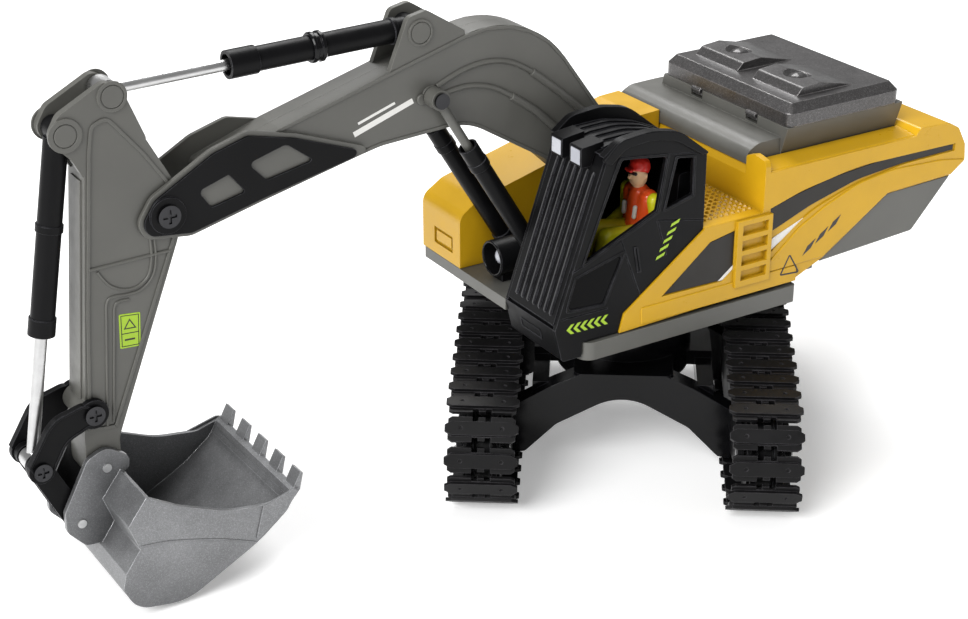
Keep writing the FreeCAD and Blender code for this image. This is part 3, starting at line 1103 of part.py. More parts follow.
put("boom_left_half", boom_half(1))
put("boom_right_half", boom_half(-1))
put("tip_cover_plates", *tip_cover_plates())
put("boom_cylinder_barrels", *boom_cylinder_barrels())
put("boom_cylinder_rods", *boom_cylinder_rods())
put("arm_cylinder_barrel", arm_cylinder_barrel())
put("arm_cylinder_rod", arm_cylinder_rod())
put("stick", stick())
put("bucket_cylinder_barrel", bucket_cylinder_barrel())
put("bucket_cylinder_rod", bucket_cylinder_rod())
put("rocker_levers", *rocker_levers())
put("bucket_link", bucket_link())
put("bucket", bucket())
put("boom_pins", *boom_pins())
put("stick_pins", *stick_pins())
put("rocker_pins", *rocker_pins())
put("bucket_pins", *bucket_pins())
write_nodes()
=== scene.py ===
import json
import math

import bmesh
import bpy
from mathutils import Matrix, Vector


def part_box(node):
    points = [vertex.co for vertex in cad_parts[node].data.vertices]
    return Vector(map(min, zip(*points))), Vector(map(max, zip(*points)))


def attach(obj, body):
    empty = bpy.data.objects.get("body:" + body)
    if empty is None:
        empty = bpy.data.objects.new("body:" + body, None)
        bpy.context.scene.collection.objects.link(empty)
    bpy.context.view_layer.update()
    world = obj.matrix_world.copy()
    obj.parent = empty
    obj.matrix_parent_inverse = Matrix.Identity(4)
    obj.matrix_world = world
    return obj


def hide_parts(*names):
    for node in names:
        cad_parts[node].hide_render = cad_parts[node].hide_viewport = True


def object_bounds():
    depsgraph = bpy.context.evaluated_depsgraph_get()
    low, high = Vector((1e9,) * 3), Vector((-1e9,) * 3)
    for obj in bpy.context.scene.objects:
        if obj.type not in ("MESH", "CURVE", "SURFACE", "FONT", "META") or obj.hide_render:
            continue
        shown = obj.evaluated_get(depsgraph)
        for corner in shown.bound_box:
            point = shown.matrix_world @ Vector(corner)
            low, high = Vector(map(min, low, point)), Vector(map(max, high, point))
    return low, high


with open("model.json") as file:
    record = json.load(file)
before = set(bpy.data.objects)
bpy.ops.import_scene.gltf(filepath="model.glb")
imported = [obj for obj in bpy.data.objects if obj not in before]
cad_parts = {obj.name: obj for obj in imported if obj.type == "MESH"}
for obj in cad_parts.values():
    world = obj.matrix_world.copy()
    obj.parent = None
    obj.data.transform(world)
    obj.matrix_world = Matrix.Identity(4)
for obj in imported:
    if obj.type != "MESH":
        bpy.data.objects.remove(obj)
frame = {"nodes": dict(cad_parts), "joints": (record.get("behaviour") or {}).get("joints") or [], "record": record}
cad_low, cad_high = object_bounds()

MM = 0.001
NODES = frame["nodes"]
PIVOT = {j["name"]: Vector(j["pos_m"]) / MM for j in frame["joints"] if "pos_m" in j}
ARM_Y = PIVOT["boom_lift"].y               # middle plane of boom, stick and bucket
LEFT, RIGHT = 1, -1
SIDES = (("left", LEFT), ("right", RIGHT))


def span(node, axis):
    """Lowest and highest place of a CAD node along an axis at rest, in mm."""
    low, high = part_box(node)
    return round(getattr(low, axis) / MM, 2), round(getattr(high, axis) / MM, 2)


def half_width(node):
    low, high = span(node, "y")
    return (high - low) / 2


# ---------------------------------------------------------------- materials
NOISE_RANGE = (0.3, 0.7)                      # most of a noise texture's values lie in here
MIX_FACTOR, MIX_A, MIX_B, MIX_RESULT = 0, 6, 7, 2       # sockets of a colour Mix node


class Graph:
    """Small helper that adds and links shader nodes."""

    def __init__(self, name):
        self.material = bpy.data.materials.new(name)
        self.material.use_nodes = True
        self.tree = self.material.node_tree
        self.shader = self.tree.nodes["Principled BSDF"]
        self.place = self.add("ShaderNodeTexCoord").outputs["Object"]

    def add(self, kind, **values):
        node = self.tree.nodes.new(kind)
        for key, value in values.items():
            if key in node.inputs:
                node.inputs[key].default_value = value
            else:
                setattr(node, key, value)
        return node

    def link(self, a, b):
        self.tree.links.new(a, b)

    def noise(self, scale, detail=3.0, roughness=0.6):
        node = self.add("ShaderNodeTexNoise", Scale=scale, Detail=detail, Roughness=roughness)
        self.link(self.place, node.inputs["Vector"])
        return node.outputs["Fac"]

    def cells(self, scale):
        node = self.add("ShaderNodeTexVoronoi", Scale=scale)
        self.link(self.place, node.inputs["Vector"])
        return node.outputs["Color"]

    def remap(self, value, a, b, c, d):
        node = self.add("ShaderNodeMapRange")
        for key, number in zip(("From Min", "From Max", "To Min", "To Max"), (a, b, c, d)):
            node.inputs[key].default_value = number
        self.link(value, node.inputs["Value"])
        return node.outputs["Result"]

    def blend(self, factor, a, b):
        node = self.add("ShaderNodeMix", data_type="RGBA")
        self.put(factor, node.inputs[MIX_FACTOR])
        self.put(a, node.inputs[MIX_A])
        self.put(b, node.inputs[MIX_B])
        return node.outputs[MIX_RESULT]

    def put(self, value, socket):
        """Links a socket, or sets a colour or a number on it."""
        if isinstance(value, bpy.types.NodeSocket):
            self.link(value, socket)
        elif isinstance(value, tuple):
            socket.default_value = (*value, 1.0)
        else:
            socket.default_value = value

    def product(self, a, b):
        node = self.add("ShaderNodeMath", operation="MULTIPLY")
        self.link(a, node.inputs[0])
        self.link(b, node.inputs[1])
        return node.outputs[0]


def scaled(color, k):
    """Colour made k times as bright, up to white."""
    return tuple(min(1.0, c * k) for c in color)


def plastic(name, color, rough=0.42, spread=0.10, edge=0.35, edge_gain=1.9, grain=1800.0, grain_mm=0.012,
            coat=0.0, flakes=0.0, flake_size=2600.0, metallic=0.0, radius_mm=0.45, specular=0.5,
            hollow_shade=0.0, hollow_shade_mm=8.0):
    """Moulded plastic: uneven colour, fine grain, painted highlights along edges broken up by noise, painted shade
    in hollows, metallic flakes.
    """
    g = Graph(name)
    s = g.shader
    mottle = g.remap(g.noise(scale=45.0, detail=4.0), *NOISE_RANGE, 0.0, 1.0)
    body = g.blend(mottle, scaled(color, 1.0 - spread), scaled(color, 1.0 + spread))
    if flakes:
        bright = g.remap(g.cells(flake_size), 0.55, 0.95, 0.0, flakes)
        body = g.blend(bright, body, scaled(color, 3.2))
        dark = g.remap(g.noise(scale=flake_size * 0.45, detail=2.0), 0.5, 0.62, 0.0, flakes * 0.8)
        body = g.blend(dark, body, scaled(color, 0.45))
    # Painted shade: ambient occlusion darkens the colour in hollows, creases and between parts.
    if hollow_shade:
        open_sky = g.add("ShaderNodeAmbientOcclusion", samples=4, Distance=hollow_shade_mm * MM)
        body = g.blend(g.remap(open_sky.outputs["AO"], 0.85, 0.15, 0.0, hollow_shade), body, scaled(color, 0.12))
    soft = g.add("ShaderNodeBevel", samples=4, Radius=radius_mm * MM)
    geometry = g.add("ShaderNodeNewGeometry")
    dot = g.add("ShaderNodeVectorMath", operation="DOT_PRODUCT")
    g.link(soft.outputs[0], dot.inputs[0])
    g.link(geometry.outputs["Normal"], dot.inputs[1])
    # Painted highlight: the colour is lightened along rounded edges, unevenly by noise.
    edge_highlight = g.remap(dot.outputs["Value"], 0.995, 0.86, 0.0, edge)
    highlight_breakup = g.remap(g.noise(scale=160.0, detail=5.0), 0.35, 0.6, 0.35, 1.0)
    body = g.blend(g.product(edge_highlight, highlight_breakup), body, scaled(color, edge_gain))
    g.link(body, s.inputs["Base Color"])
    wipe = g.noise(scale=90.0, detail=6.0, roughness=0.7)
    g.link(g.remap(wipe, *NOISE_RANGE, rough - 0.07, rough + 0.09), s.inputs["Roughness"])
    s.inputs["Metallic"].default_value = metallic
    s.inputs["Specular IOR Level"].default_value = specular
    s.inputs["Coat Weight"].default_value = coat
    s.inputs["Coat Roughness"].default_value = 0.12
    bump = g.add("ShaderNodeBump", Strength=0.55, Distance=grain_mm * MM)
    g.link(g.noise(scale=grain, detail=2.0), bump.inputs["Height"])
    g.link(soft.outputs[0], bump.inputs["Normal"])
    g.link(bump.outputs[0], s.inputs["Normal"])
    return g.material


def metal(name, color, rough, scratches=900.0):
    """Turned or drawn metal with fine marks and uneven polish."""
    g = Graph(name)
    s = g.shader
    marks = g.noise(scale=scratches, detail=4.0, roughness=0.5)
    tone = g.remap(marks, *NOISE_RANGE, 0.0, 1.0)
    g.link(g.blend(tone, scaled(color, 0.93), scaled(color, 1.04)), s.inputs["Base Color"])
    wipe = g.noise(scale=140.0, detail=4.0)
    g.link(g.remap(wipe, *NOISE_RANGE, rough - 0.06, rough + 0.10), s.inputs["Roughness"])
    s.inputs["Metallic"].default_value = 1.0
    bump = g.add("ShaderNodeBump", Strength=0.3, Distance=0.002 * MM)
    g.link(marks, bump.inputs["Height"])
    g.link(bump.outputs[0], s.inputs["Normal"])
    return g.material


YELLOW = (0.590, 0.335, 0.009)
GREY = (0.102, 0.101, 0.091)
BLACK = (0.0045, 0.0045, 0.0050)

# The hollow settings paint shade into hollows; edge and edge_gain paint highlights along edges.
MATERIALS = {
    "yellow_plastic": plastic("yellow", YELLOW, rough=0.33, spread=0.05, edge=0.35, edge_gain=1.4, coat=0.1,
                              specular=0.3, hollow_shade=0.45, hollow_shade_mm=5.0),
    "grey_plastic": plastic("olive_grey", GREY, rough=0.40, spread=0.08, edge=0.6, edge_gain=2.6,
                            hollow_shade=0.5, hollow_shade_mm=5.0),
    "black_plastic": plastic("satin_black", BLACK, rough=0.38, spread=0.2, edge=0.6, edge_gain=30.0,
                             specular=0.12),
    "gloss_black": plastic("gloss_black", (0.0030, 0.0030, 0.0035), rough=0.18, spread=0.15, edge=0.35,
                           edge_gain=22.0, coat=0.10, grain_mm=0.003, specular=0.18),
    "track_plastic": plastic("track_black", (0.0042, 0.0040, 0.0044), rough=0.44, spread=0.25, edge=0.55,
                             edge_gain=26.0, grain_mm=0.02, specular=0.2),
    "bucket_plastic": plastic("bucket_silver", (0.215, 0.218, 0.224), rough=0.36, spread=0.16, edge=0.75,
                              edge_gain=3.4, flakes=0.22, flake_size=3000.0, metallic=0.55, grain_mm=0.012,
                              hollow_shade=0.85, hollow_shade_mm=38.0),
    "cover_plastic": plastic("cover_metallic", (0.078, 0.075, 0.075), rough=0.32, spread=0.08, edge=0.8,
                             edge_gain=6.0, flakes=0.45, flake_size=2400.0, metallic=0.6, coat=0.2,
                             grain_mm=0.02, radius_mm=0.8),
    "steel_rod": metal("drawn_steel", (0.60, 0.60, 0.60), rough=0.32, scratches=300.0),
    "dark_screw": metal("black_oxide", (0.050, 0.050, 0.053), rough=0.34),
    "pin_steel": metal("bright_pin", (0.78, 0.78, 0.78), rough=0.32),
    "lens_plastic": plastic("milky_lens", (0.42, 0.43, 0.47), rough=0.16, spread=0.05, edge=0.1,
                            edge_gain=1.2, coat=0.6, grain=600.0, grain_mm=0.03),
    "figure_plastic": plastic("figure_green", (0.66, 0.62, 0.012), rough=0.33, spread=0.05, edge=0.15,
                              edge_gain=1.3, coat=0.3, radius_mm=0.25),
    "white_plastic": plastic("gear_white", (0.62, 0.62, 0.58), rough=0.4, spread=0.04, edge=0.2,
                             edge_gain=1.2),
    "motor_steel": metal("motor_can", (0.52, 0.52, 0.53), rough=0.34),
    "board_green": plastic("board_green", (0.010, 0.120, 0.030), rough=0.35, spread=0.1, edge=0.3,
                           edge_gain=2.5),
    "cell_wrap": plastic("cell_wrap", (0.035, 0.050, 0.120), rough=0.25, spread=0.08, edge=0.3, edge_gain=2.2,
                         coat=0.4),
}
PAINT = {
    "green": plastic("print_green", (0.360, 0.560, 0.020), rough=0.4, spread=0.05, edge=0.0, edge_gain=1.0,
                     radius_mm=0.1),
    "white": plastic("print_white", (0.78, 0.77, 0.74), rough=0.4, spread=0.04, edge=0.0, edge_gain=1.0,
                     radius_mm=0.1),
    "charcoal": plastic("panel_charcoal", (0.014, 0.012, 0.010), rough=0.42, spread=0.1, edge=0.25,
                        edge_gain=2.5, specular=0.35),
    # Painted highlight: a pale grey for the lit crests of the black front ribs.
    "rib": plastic("rib_edge_highlight", (0.050, 0.050, 0.053), rough=0.3, spread=0.15, edge=0.2, edge_gain=1.6,
                   radius_mm=0.1),
    "pane": plastic("dark_pane", (0.0015, 0.0015, 0.0018), rough=0.12, spread=0.1, edge=0.2, edge_gain=5.0,
                    grain_mm=0.001, specular=0.07),
    "skin": plastic("figure_skin", (0.80, 0.50, 0.28), rough=0.4, spread=0.04, edge=0.1, edge_gain=1.15,
                    radius_mm=0.2),
    "red": plastic("figure_red", (0.75, 0.030, 0.020), rough=0.32, spread=0.05, edge=0.15, edge_gain=1.3,
                   coat=0.3, radius_mm=0.2),
    "orange": plastic("figure_vest", (0.85, 0.090, 0.015), rough=0.32, spread=0.06, edge=0.15, edge_gain=1.3,
                      coat=0.3, radius_mm=0.2),
    "dark": plastic("figure_dark", (0.020, 0.016, 0.015), rough=0.4, spread=0.1, edge=0.15, edge_gain=2.0,
                    radius_mm=0.2),
}


def dress_nodes():
    """Every CAD node takes the finish of its material slot in the record."""
    for part in frame["record"]["subparts"]:
        obj = NODES[part["node"]]
        material = MATERIALS[part["material_slot"]]
        if not obj.material_slots:
            obj.data.materials.append(material)
        for slot in obj.material_slots:
            slot.material = material


# ---------------------------------------------------------------- piece builders (millimetres in)
STRAIGHT = 1.56                               # half the angle of a corner too flat to round, radians
BEVEL_FROM, SHARP_FROM = 35, 38               # degrees between faces
LEAST_COSINE = 0.35                           # keeps an inset short at a sharp corner
FOLDED = 1e-6                                 # an outline that turns right back has no inset there
BALL_STEP = 0.35                              # between the balls of a capsule, as a share of their radius


def keep(obj, body, material):
    """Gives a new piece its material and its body."""
    obj.data.materials.append(material)
    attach(obj, body)
    return obj


def rounded(corners, steps=5):
    """Closed outline through (a, b) or (a, b, radius) corners, arcs in short steps."""
    out = []
    n = len(corners)
    for i, corner in enumerate(corners):
        here = Vector(corner[:2])
        radius = corner[2] if len(corner) > 2 else 0.0
        back = (Vector(corners[i - 1][:2]) - here).normalized()
        ahead = (Vector(corners[(i + 1) % n][:2]) - here).normalized()
        half = math.acos(max(-1.0, min(1.0, back.dot(ahead)))) / 2.0
        if radius <= 0 or half > STRAIGHT:
            out.append(here)
            continue
        centre = here + (back + ahead).normalized() * radius / math.sin(half)
        first = here + back * radius / math.tan(half)
        last = here + ahead * radius / math.tan(half)
        a0 = math.atan2(*(first - centre).yx)
        turn = (math.atan2(*(last - centre).yx) - a0 + math.pi) % (2 * math.pi) - math.pi
        for k in range(steps + 1):
            a = a0 + turn * k / steps
            out.append(centre + radius * Vector((math.cos(a), math.sin(a))))
    return out


def mesh_piece(name, bm, body, material, slot, bevel_mm=0.0, smooth=True):
    """Turns a bmesh into a piece, with its edges bevelled and smooth shading up to a limit."""
    bmesh.ops.recalc_face_normals(bm, faces=bm.faces)
    mesh = bpy.data.meshes.new(name)
    bm.to_mesh(mesh)
    bm.free()
    obj = bpy.data.objects.new(name, mesh)
    bpy.context.scene.collection.objects.link(obj)
    if bevel_mm:
        mod = obj.modifiers.new("edges", "BEVEL")
        mod.width, mod.segments, mod.limit_method = bevel_mm * MM, 2, "ANGLE"
        mod.angle_limit = math.radians(BEVEL_FROM)
    if smooth:
        mesh.shade_smooth()
        mesh.set_sharp_from_angle(angle=math.radians(SHARP_FROM))
    return keep(obj, body, material)


def add_slab(bm, outline, low, high, place):
    """Closed slab: outline as (a, b), from low to high; place maps (a, b, depth) in mm to a point."""
    bottom = [bm.verts.new(place(a, b, low) * MM) for a, b in outline]
    top = [bm.verts.new(place(a, b, high) * MM) for a, b in outline]
    bm.faces.new(bottom)
    bm.faces.new(list(reversed(top)))
    n = len(outline)
    for i in range(n):
        bm.faces.new((bottom[i], top[i], top[(i + 1) % n], bottom[(i + 1) % n]))


def xz(a, b, depth):
    """Place of an outline point in (x, z), with depth along Y."""
    return Vector((a, depth, b))


def side_plate(name, outlines, y0, y1, body, material, slot, bevel_mm=0.15):
    """One piece from several outlines in (x, z), between two Y planes."""
    bm = bmesh.new()
    for outline in outlines:
        add_slab(bm, rounded(outline), y0, y1, xz)
    return mesh_piece(name, bm, body, material, slot, bevel_mm)


def tube(name, lines, radius, body, material, slot, order=3, closed=False):
    """Raised lines of round section: splines along the points, in mm, straight runs at order 2."""
    curve = bpy.data.curves.new(name, "CURVE")
    curve.dimensions = "3D"
    curve.bevel_depth, curve.bevel_resolution, curve.resolution_u = radius * MM, 4, 6
    curve.use_fill_caps = True
    for points in lines:
        spline = curve.splines.new("NURBS" if order > 2 else "POLY")
        spline.points.add(len(points) - 1)
        for control, point in zip(spline.points, points):
            control.co = (*(Vector(point) * MM), 1.0)
        if order > 2:
            spline.order_u, spline.use_endpoint_u = order, True
        spline.use_cyclic_u = closed
    obj = bpy.data.objects.new(name, curve)
    bpy.context.scene.collection.objects.link(obj)
    return keep(obj, body, material)


def figure_part(name, capsules, body, material, voxel, smooth):
    """Rounded moulded shape: capsules (p, q, r1, r2) in mm, melted together."""
    bm = bmesh.new()
    for p, q, r1, r2 in capsules:
        p, q = Vector(p), Vector(q)
        steps = max(2, int((q - p).length / (BALL_STEP * min(r1, r2))) + 1)
        for k in range(steps):
            t = k / (steps - 1)
            ball = bmesh.ops.create_icosphere(bm, subdivisions=2, radius=(r1 + (r2 - r1) * t) * MM)
            bmesh.ops.translate(bm, verts=ball["verts"], vec=p.lerp(q, t) * MM)
    mesh = bpy.data.meshes.new(name)
    bm.to_mesh(mesh)
    bm.free()
    obj = bpy.data.objects.new(name, mesh)
    bpy.context.scene.collection.objects.link(obj)
    remesh = obj.modifiers.new("melt", "REMESH")
    remesh.mode, remesh.voxel_size, remesh.use_smooth_shade = "VOXEL", voxel * MM, True
    soften = obj.modifiers.new("soften", "SMOOTH")
    soften.factor, soften.iterations = 0.5, smooth
    return keep(obj, body, material)


def lathe(name, profile, start, toward, y, body, material, slot, steps=48):
    """Closed ring around the axis from start to toward, in (x, z); profile as (distance, radius) in mm."""
    bm = bmesh.new()
    first = Vector((start[0], y, start[1]))
    axis = (Vector((toward[0], y, toward[1])) - first).normalized()
    up = axis.cross(Vector((0, 1, 0)))
    rings = []
    for k in range(steps):
        a = 2 * math.pi * k / steps
        out = up * math.cos(a) + Vector((0, 1, 0)) * math.sin(a)
        rings.append([bm.verts.new((first + axis * d + out * r) * MM) for d, r in profile])
    for k in range(steps):
        near, far = rings[k], rings[(k + 1) % steps]
        for m in range(len(profile)):
            n = (m + 1) % len(profile)
            bm.faces.new((near[m], near[n], far[n], far[m]))
    return mesh_piece(name, bm, body, material, slot)


def inset(outline, distance):
    """Closed outline moved inward by a distance, corners kept."""
    doubled_area = sum(a.x * b.y - b.x * a.y for a, b in zip(outline, outline[1:] + outline[:1]))
    turn = 1.0 if doubled_area > 0 else -1.0
    out = []
    for i, here in enumerate(outline):
        before = (here - outline[i - 1]).normalized()
        after = (outline[(i + 1) % len(outline)] - here).normalized()
        normal = Vector((-(before.y + after.y), before.x + after.x)) * turn
        if normal.length < FOLDED:
            out.append(here.copy())
            continue
        normal.normalize()
        side = Vector((-before.y, before.x)) * turn
        out.append(here + normal * distance / max(LEAST_COSINE, normal.dot(side)))
    return out


def clean(outline, gap=0.02):
    """Outline without repeated points."""
    out = []
    for point in outline:
        if not out or (point - out[-1]).length > gap:
            out.append(point)
    if (out[0] - out[-1]).length < gap:
        out.pop()
    return out


def frame_ring(name, corners, width, low, high, place, body, material, slot, bevel_mm=0.15):
    """Raised closed rim: the outline's outer edge, width wide, from low to high along the depth."""
    outer = clean(rounded(corners))
    inner = inset(outer, width)
    bm = bmesh.new()
    loops = [[bm.verts.new(place(p.x, p.y, d) * MM) for p in loop]
             for loop, d in ((outer, low), (outer, high), (inner, high), (inner, low))]
    n = len(outer)
    for a, b in zip(loops, loops[1:] + loops[:1]):
        for i in range(n):
            j = (i + 1) % n
            bm.faces.new((a[i], a[j], b[j], b[i]))
    return mesh_piece(name, bm, body, material, slot, bevel_mm)


def button(name, centre, radius, y0, y1, body, material, slot, bevel_mm=0.3, steps=40):
    """Round moulded boss along Y."""
    ring = [Vector((centre[0] + radius * math.cos(2 * math.pi * k / steps),
                    centre[1] + radius * math.sin(2 * math.pi * k / steps))) for k in range(steps)]
    bm = bmesh.new()
    add_slab(bm, ring, y0, y1, xz)
    return mesh_piece(name, bm, body, material, slot, bevel_mm)


def at_side(side, half):
    """Y of a side face of the arm."""
    return ARM_Y + side * half


def layer(face, side, under, over):
    """Two Y planes, lowest first: one under a side face, and one over it, away from the middle."""
    return sorted((face - side * under, face + side * over))


def on(body, slot, paint=None):
    """Body, material and slot of a piece; a paint stands in for the slot's own material."""
    return body, PAINT[paint] if paint else MATERIALS[slot], slot


# ---------------------------------------------------------------- boom and stick
# Outlines and paths are (x, z), with a corner radius as the third number, in mm.
BOOM_HALF, STICK_HALF = 9.2, 8.8              # from the arm's middle plane to the plain side faces
BOOM_OUTLINE = [(222, 161, 3), (222, 184, 3), (188, 196, 8), (63, 231, 50), (-20, 117), (-17, 105), (-3, 104),
                (50.5, 153.7, 60), (95, 181, 30), (139.6, 178.5, 40)]
HOSES = [[(110.5, 200.6), (102.3, 204.4), (93.2, 206.9), (84, 207.8), (74.7, 206.3), (66.7, 203),
          (57, 196.6)],
         [(107.5, 196.6), (98.4, 198.2), (90.6, 197.7), (82.7, 195.6), (76, 192.4), (68, 187)]]
SLEEVES = [[(60.5, 198.7), (47.3, 188.6), (37.4, 179.5), (27.3, 170.9), (8, 150), (-4, 126)],
           [(71.5, 189), (61, 182.1), (52.6, 174.5), (42.7, 165.2), (22, 143), (4, 119)]]
BOOM_STOP = (118.6, 196.2)
BOOM_STRIPES = [[(152.0, 184.9), (153.0, 187.3), (123.2, 197.4), (122.2, 195.0)],
                [(150.0, 190.2), (150.5, 191.3), (132.0, 197.4), (131.5, 196.3)]]
STICK_RIM = [(284.3, 78, 1), (280.4, 129.8, 60), (273.6, 201), (271.6, 213.2, 4.5), (264.0, 216.2, 4.5),
             (249.5, 198.0, 6), (239.2, 182.5, 8), (235.4, 168, 8), (239.2, 155.5, 12), (271.5, 76.6, 1)]
STICK_LINES = [[(273.6, 149.8), (270.8, 143.9), (264.6, 139.5), (258, 138.5), (252.7, 141.2), (250.5, 145.3),
                (249.1, 154.1), (250, 164)],
               [(275.6, 78.5), (272.1, 123), (271.7, 128.5), (271.2, 135.5), (268.6, 137.6), (261.4, 136.6),
                (254.6, 137.2), (248.8, 142.7), (247.2, 153.7), (248.3, 164)],
               [(272.6, 79.5), (268.9, 120.1), (268.4, 127.7), (267.8, 133.4), (265.5, 134.8), (261, 134.4)]]
STICK_RIB = [(277.4, 151.4), (240.5, 152.2)]
STICK_STRIP = [(275.2, 189), (276.3, 189.6), (286.2, 80.5), (285.0, 79.8)]
STRIP_HALF = 5.4
STICKER = [(266.2, 128.4, 0.6), (256.6, 127.4, 0.6), (257.6, 112.0, 0.6), (266.8, 112.6, 0.6)]
STICKER_FRAME = [(265.5, 127.7), (257.3, 126.8), (258.2, 112.7), (266.0, 113.2)]
STICKER_TRIANGLE = [(261.6, 125.6), (264.6, 121.1), (258.8, 120.7)]
STICKER_BARS = [[(265.6, 119.4), (258.0, 118.9), (258.05, 118.5), (265.65, 119.0)],
                [(264.4, 116.6), (259.8, 116.3), (259.9, 115.5), (264.5, 115.8)]]


def boom_details():
    """Rims, moulded hoses in their sleeves, stop buttons and printed stripes."""
    for tag, side in SIDES:
        face = at_side(side, BOOM_HALF)
        frame_ring("boom_rim_" + tag, BOOM_OUTLINE, 1.5, *layer(face, side, 0.3, 0.55), xz,
                   *on("boom", "grey_plastic"))
        for name, paths, radius in (("boom_hoses_", HOSES, 1.25), ("boom_hose_sleeves_", SLEEVES, 1.85)):
            lines = [[(x, face + side * 0.2, z) for x, z in path] for path in paths]
            tube(name + tag, lines, radius, *on("boom", "grey_plastic"))
        button("boom_stop_" + tag, BOOM_STOP, 2.4, *layer(face, side, 0.2, 1.3), *on("boom", "grey_plastic"))
        side_plate("boom_stripes_" + tag, BOOM_STRIPES, *layer(face, side, 0.1, 0.06),
                   *on("boom", "white_plastic", "white"), 0.0)


COLLAR = [(43.5, 5.2), (43.5, 6.3), (44.1, 6.8), (45.4, 6.8), (45.9, 6.2),
          (47.3, 6.2), (47.8, 6.8), (49.1, 6.8), (49.7, 6.3), (49.7, 5.2)]       # (distance, radius)


def cylinder_details():
    """Grooved collar near the front of the arm cylinder's barrel."""
    lathe("arm_cylinder_collar", COLLAR, PIVOT["arm_barrel_tilt"].xz, PIVOT["arm_rod_tilt"].xz, ARM_Y,
          *on("arm_barrel", "gloss_black"))


def stick_details():
    """Rims, raised lines and a cross rib on both sides, and the strip along the front."""
    for tag, side in SIDES:
        face = at_side(side, STICK_HALF)
        lift = face + side * 0.1
        frame_ring("stick_rim_" + tag, STICK_RIM, 1.4, *layer(face, side, 0.3, 0.6), xz,
                   *on("stick", "grey_plastic"))
        lines = [[(x, lift, z) for x, z in path] for path in STICK_LINES]
        tube("stick_lines_" + tag, lines, 0.62, *on("stick", "grey_plastic"))
        rib = [[(x, lift, z) for x, z in STICK_RIB]]
        tube("stick_cross_rib_" + tag, rib, 0.75, *on("stick", "grey_plastic"), order=2)
    side_plate("stick_front_strip", [STICK_STRIP], ARM_Y - STRIP_HALF, ARM_Y + STRIP_HALF,
               *on("stick", "grey_plastic"), 0.3)


def stick_sticker():
    """Green label with a plain triangle and two bars, no words."""
    face = at_side(LEFT, STICK_HALF)
    side_plate("stick_sticker", [STICKER], *layer(face, LEFT, 0.05, 0.10),
               *on("stick", "figure_plastic", "green"), 0.0)
    low, high = face + 0.08, face + 0.14
    ink = on("stick", "black_plastic", "dark")
    frame_ring("sticker_frame", STICKER_FRAME, 0.35, low, high, xz, *ink, 0.0)
    frame_ring("sticker_triangle", STICKER_TRIANGLE, 0.5, low, high, xz, *ink, 0.0)
    side_plate("sticker_bars", STICKER_BARS, low, high, *ink, 0.0)


# ---------------------------------------------------------------- rockers and bucket
ROCKER_OUTLINE = [(279, 82), (284, 93.4, 5), (301, 89, 14), (312.6, 70), (308, 61.6, 3), (301.5, 66),
                  (295, 77.5, 10), (285, 81.6)]
BUCKET_LINE = [(277.4, 34.9), (270, 34.4), (263.1, 33.2), (247.4, 28.8), (236, 25), (224, 19.6)]
BUCKET_CORNER = [(224.2, 19.6, 1), (219.6, 36.6, 0.5), (204.6, 40.4, 1), (202.4, 39.9), (208.6, 30.9, 5)]


def linkage_details():
    """Raised rim round each rocker plate."""
    for tag, side in SIDES:
        face = at_side(side, half_width("rocker_levers"))
        frame_ring("rocker_rim_" + tag, ROCKER_OUTLINE, 1.1, *layer(face, side, 0.3, 0.45), xz,
                   *on("rocker", "black_plastic"))


def bucket_details():
    """Weld line and corner plate on each bucket side."""
    for tag, side in SIDES:
        face = at_side(side, half_width("bucket"))
        tube("bucket_line_" + tag, [[(x, face, z) for x, z in BUCKET_LINE]], 0.38,
             *on("bucket", "bucket_plastic"))
        side_plate("bucket_corner_" + tag, [BUCKET_CORNER], *layer(face, side, 0.3, 0.6),
                   *on("bucket", "bucket_plastic"), 0.25)


# ---------------------------------------------------------------- upper structure
HOUSE_Y = -span("right_body_shell", "y")[0]   # both side walls; the left one also carries a ladder
CAB_Y = span("cab_shell", "y")[1]
INLAY = (1.0, -0.45)                          # an inlay's back and front, both under the wall face
PRINT_MM = 0.07                               # a printed mark stands this proud
STRIPE = [(-40.8, 127.8), (-57.8, 132.0, 40), (-79.4, 135.9, 60), (-109.3, 138.2, 60), (-140.3, 138.5),
          (-157.6, 137.0), (-157.6, 134.2), (-125.3, 133.9, 60), (-94.9, 131.4, 60), (-65.8, 124.2, 40),
          (-41.2, 115.4)]
WEDGE = [(-41.4, 105.4), (-41.2, 111.3), (-66.3, 119.9), (-57, 114.2, 30)]
BAND = [(-41.2, 100.4), (-45, 103.3, 8), (-59.3, 114.7, 30), (-74.9, 122.3, 40), (-95, 129.6, 50),
        (-117.6, 132.2, 60), (-150, 130.6, 60), (-165.4, 127.9), (-165.3, 126.8), (-157.6, 121.6),
        (-115.5, 120.4, 4), (-75.2, 95.2), (-41.2, 95.2)]
BAND_PROUD = 0.55
PANEL = [(21.0, 98.1), (-4.7, 118.4, 2), (-19.5, 121.2), (-19.5, 101.6), (-13.4, 97.4)]
PANEL_TIP = [(-11.0, 97.3), (-13.7, 97.2), (-19.6, 101.6), (-19.6, 103.6)]
STEP = [(33.8, 86.4), (34.4, 95.0, 1.5), (-21.2, 95.0), (-33.8, 95.0), (-41.0, 96.4), (-41.0, 94.8),
        (-59.0, 94.8), (-59.0, 86.4)]
HAZARD = [(-53.9, 102.0, 0.8), (-61.0, 90.4, 0.8), (-48.2, 91.4, 0.8)]


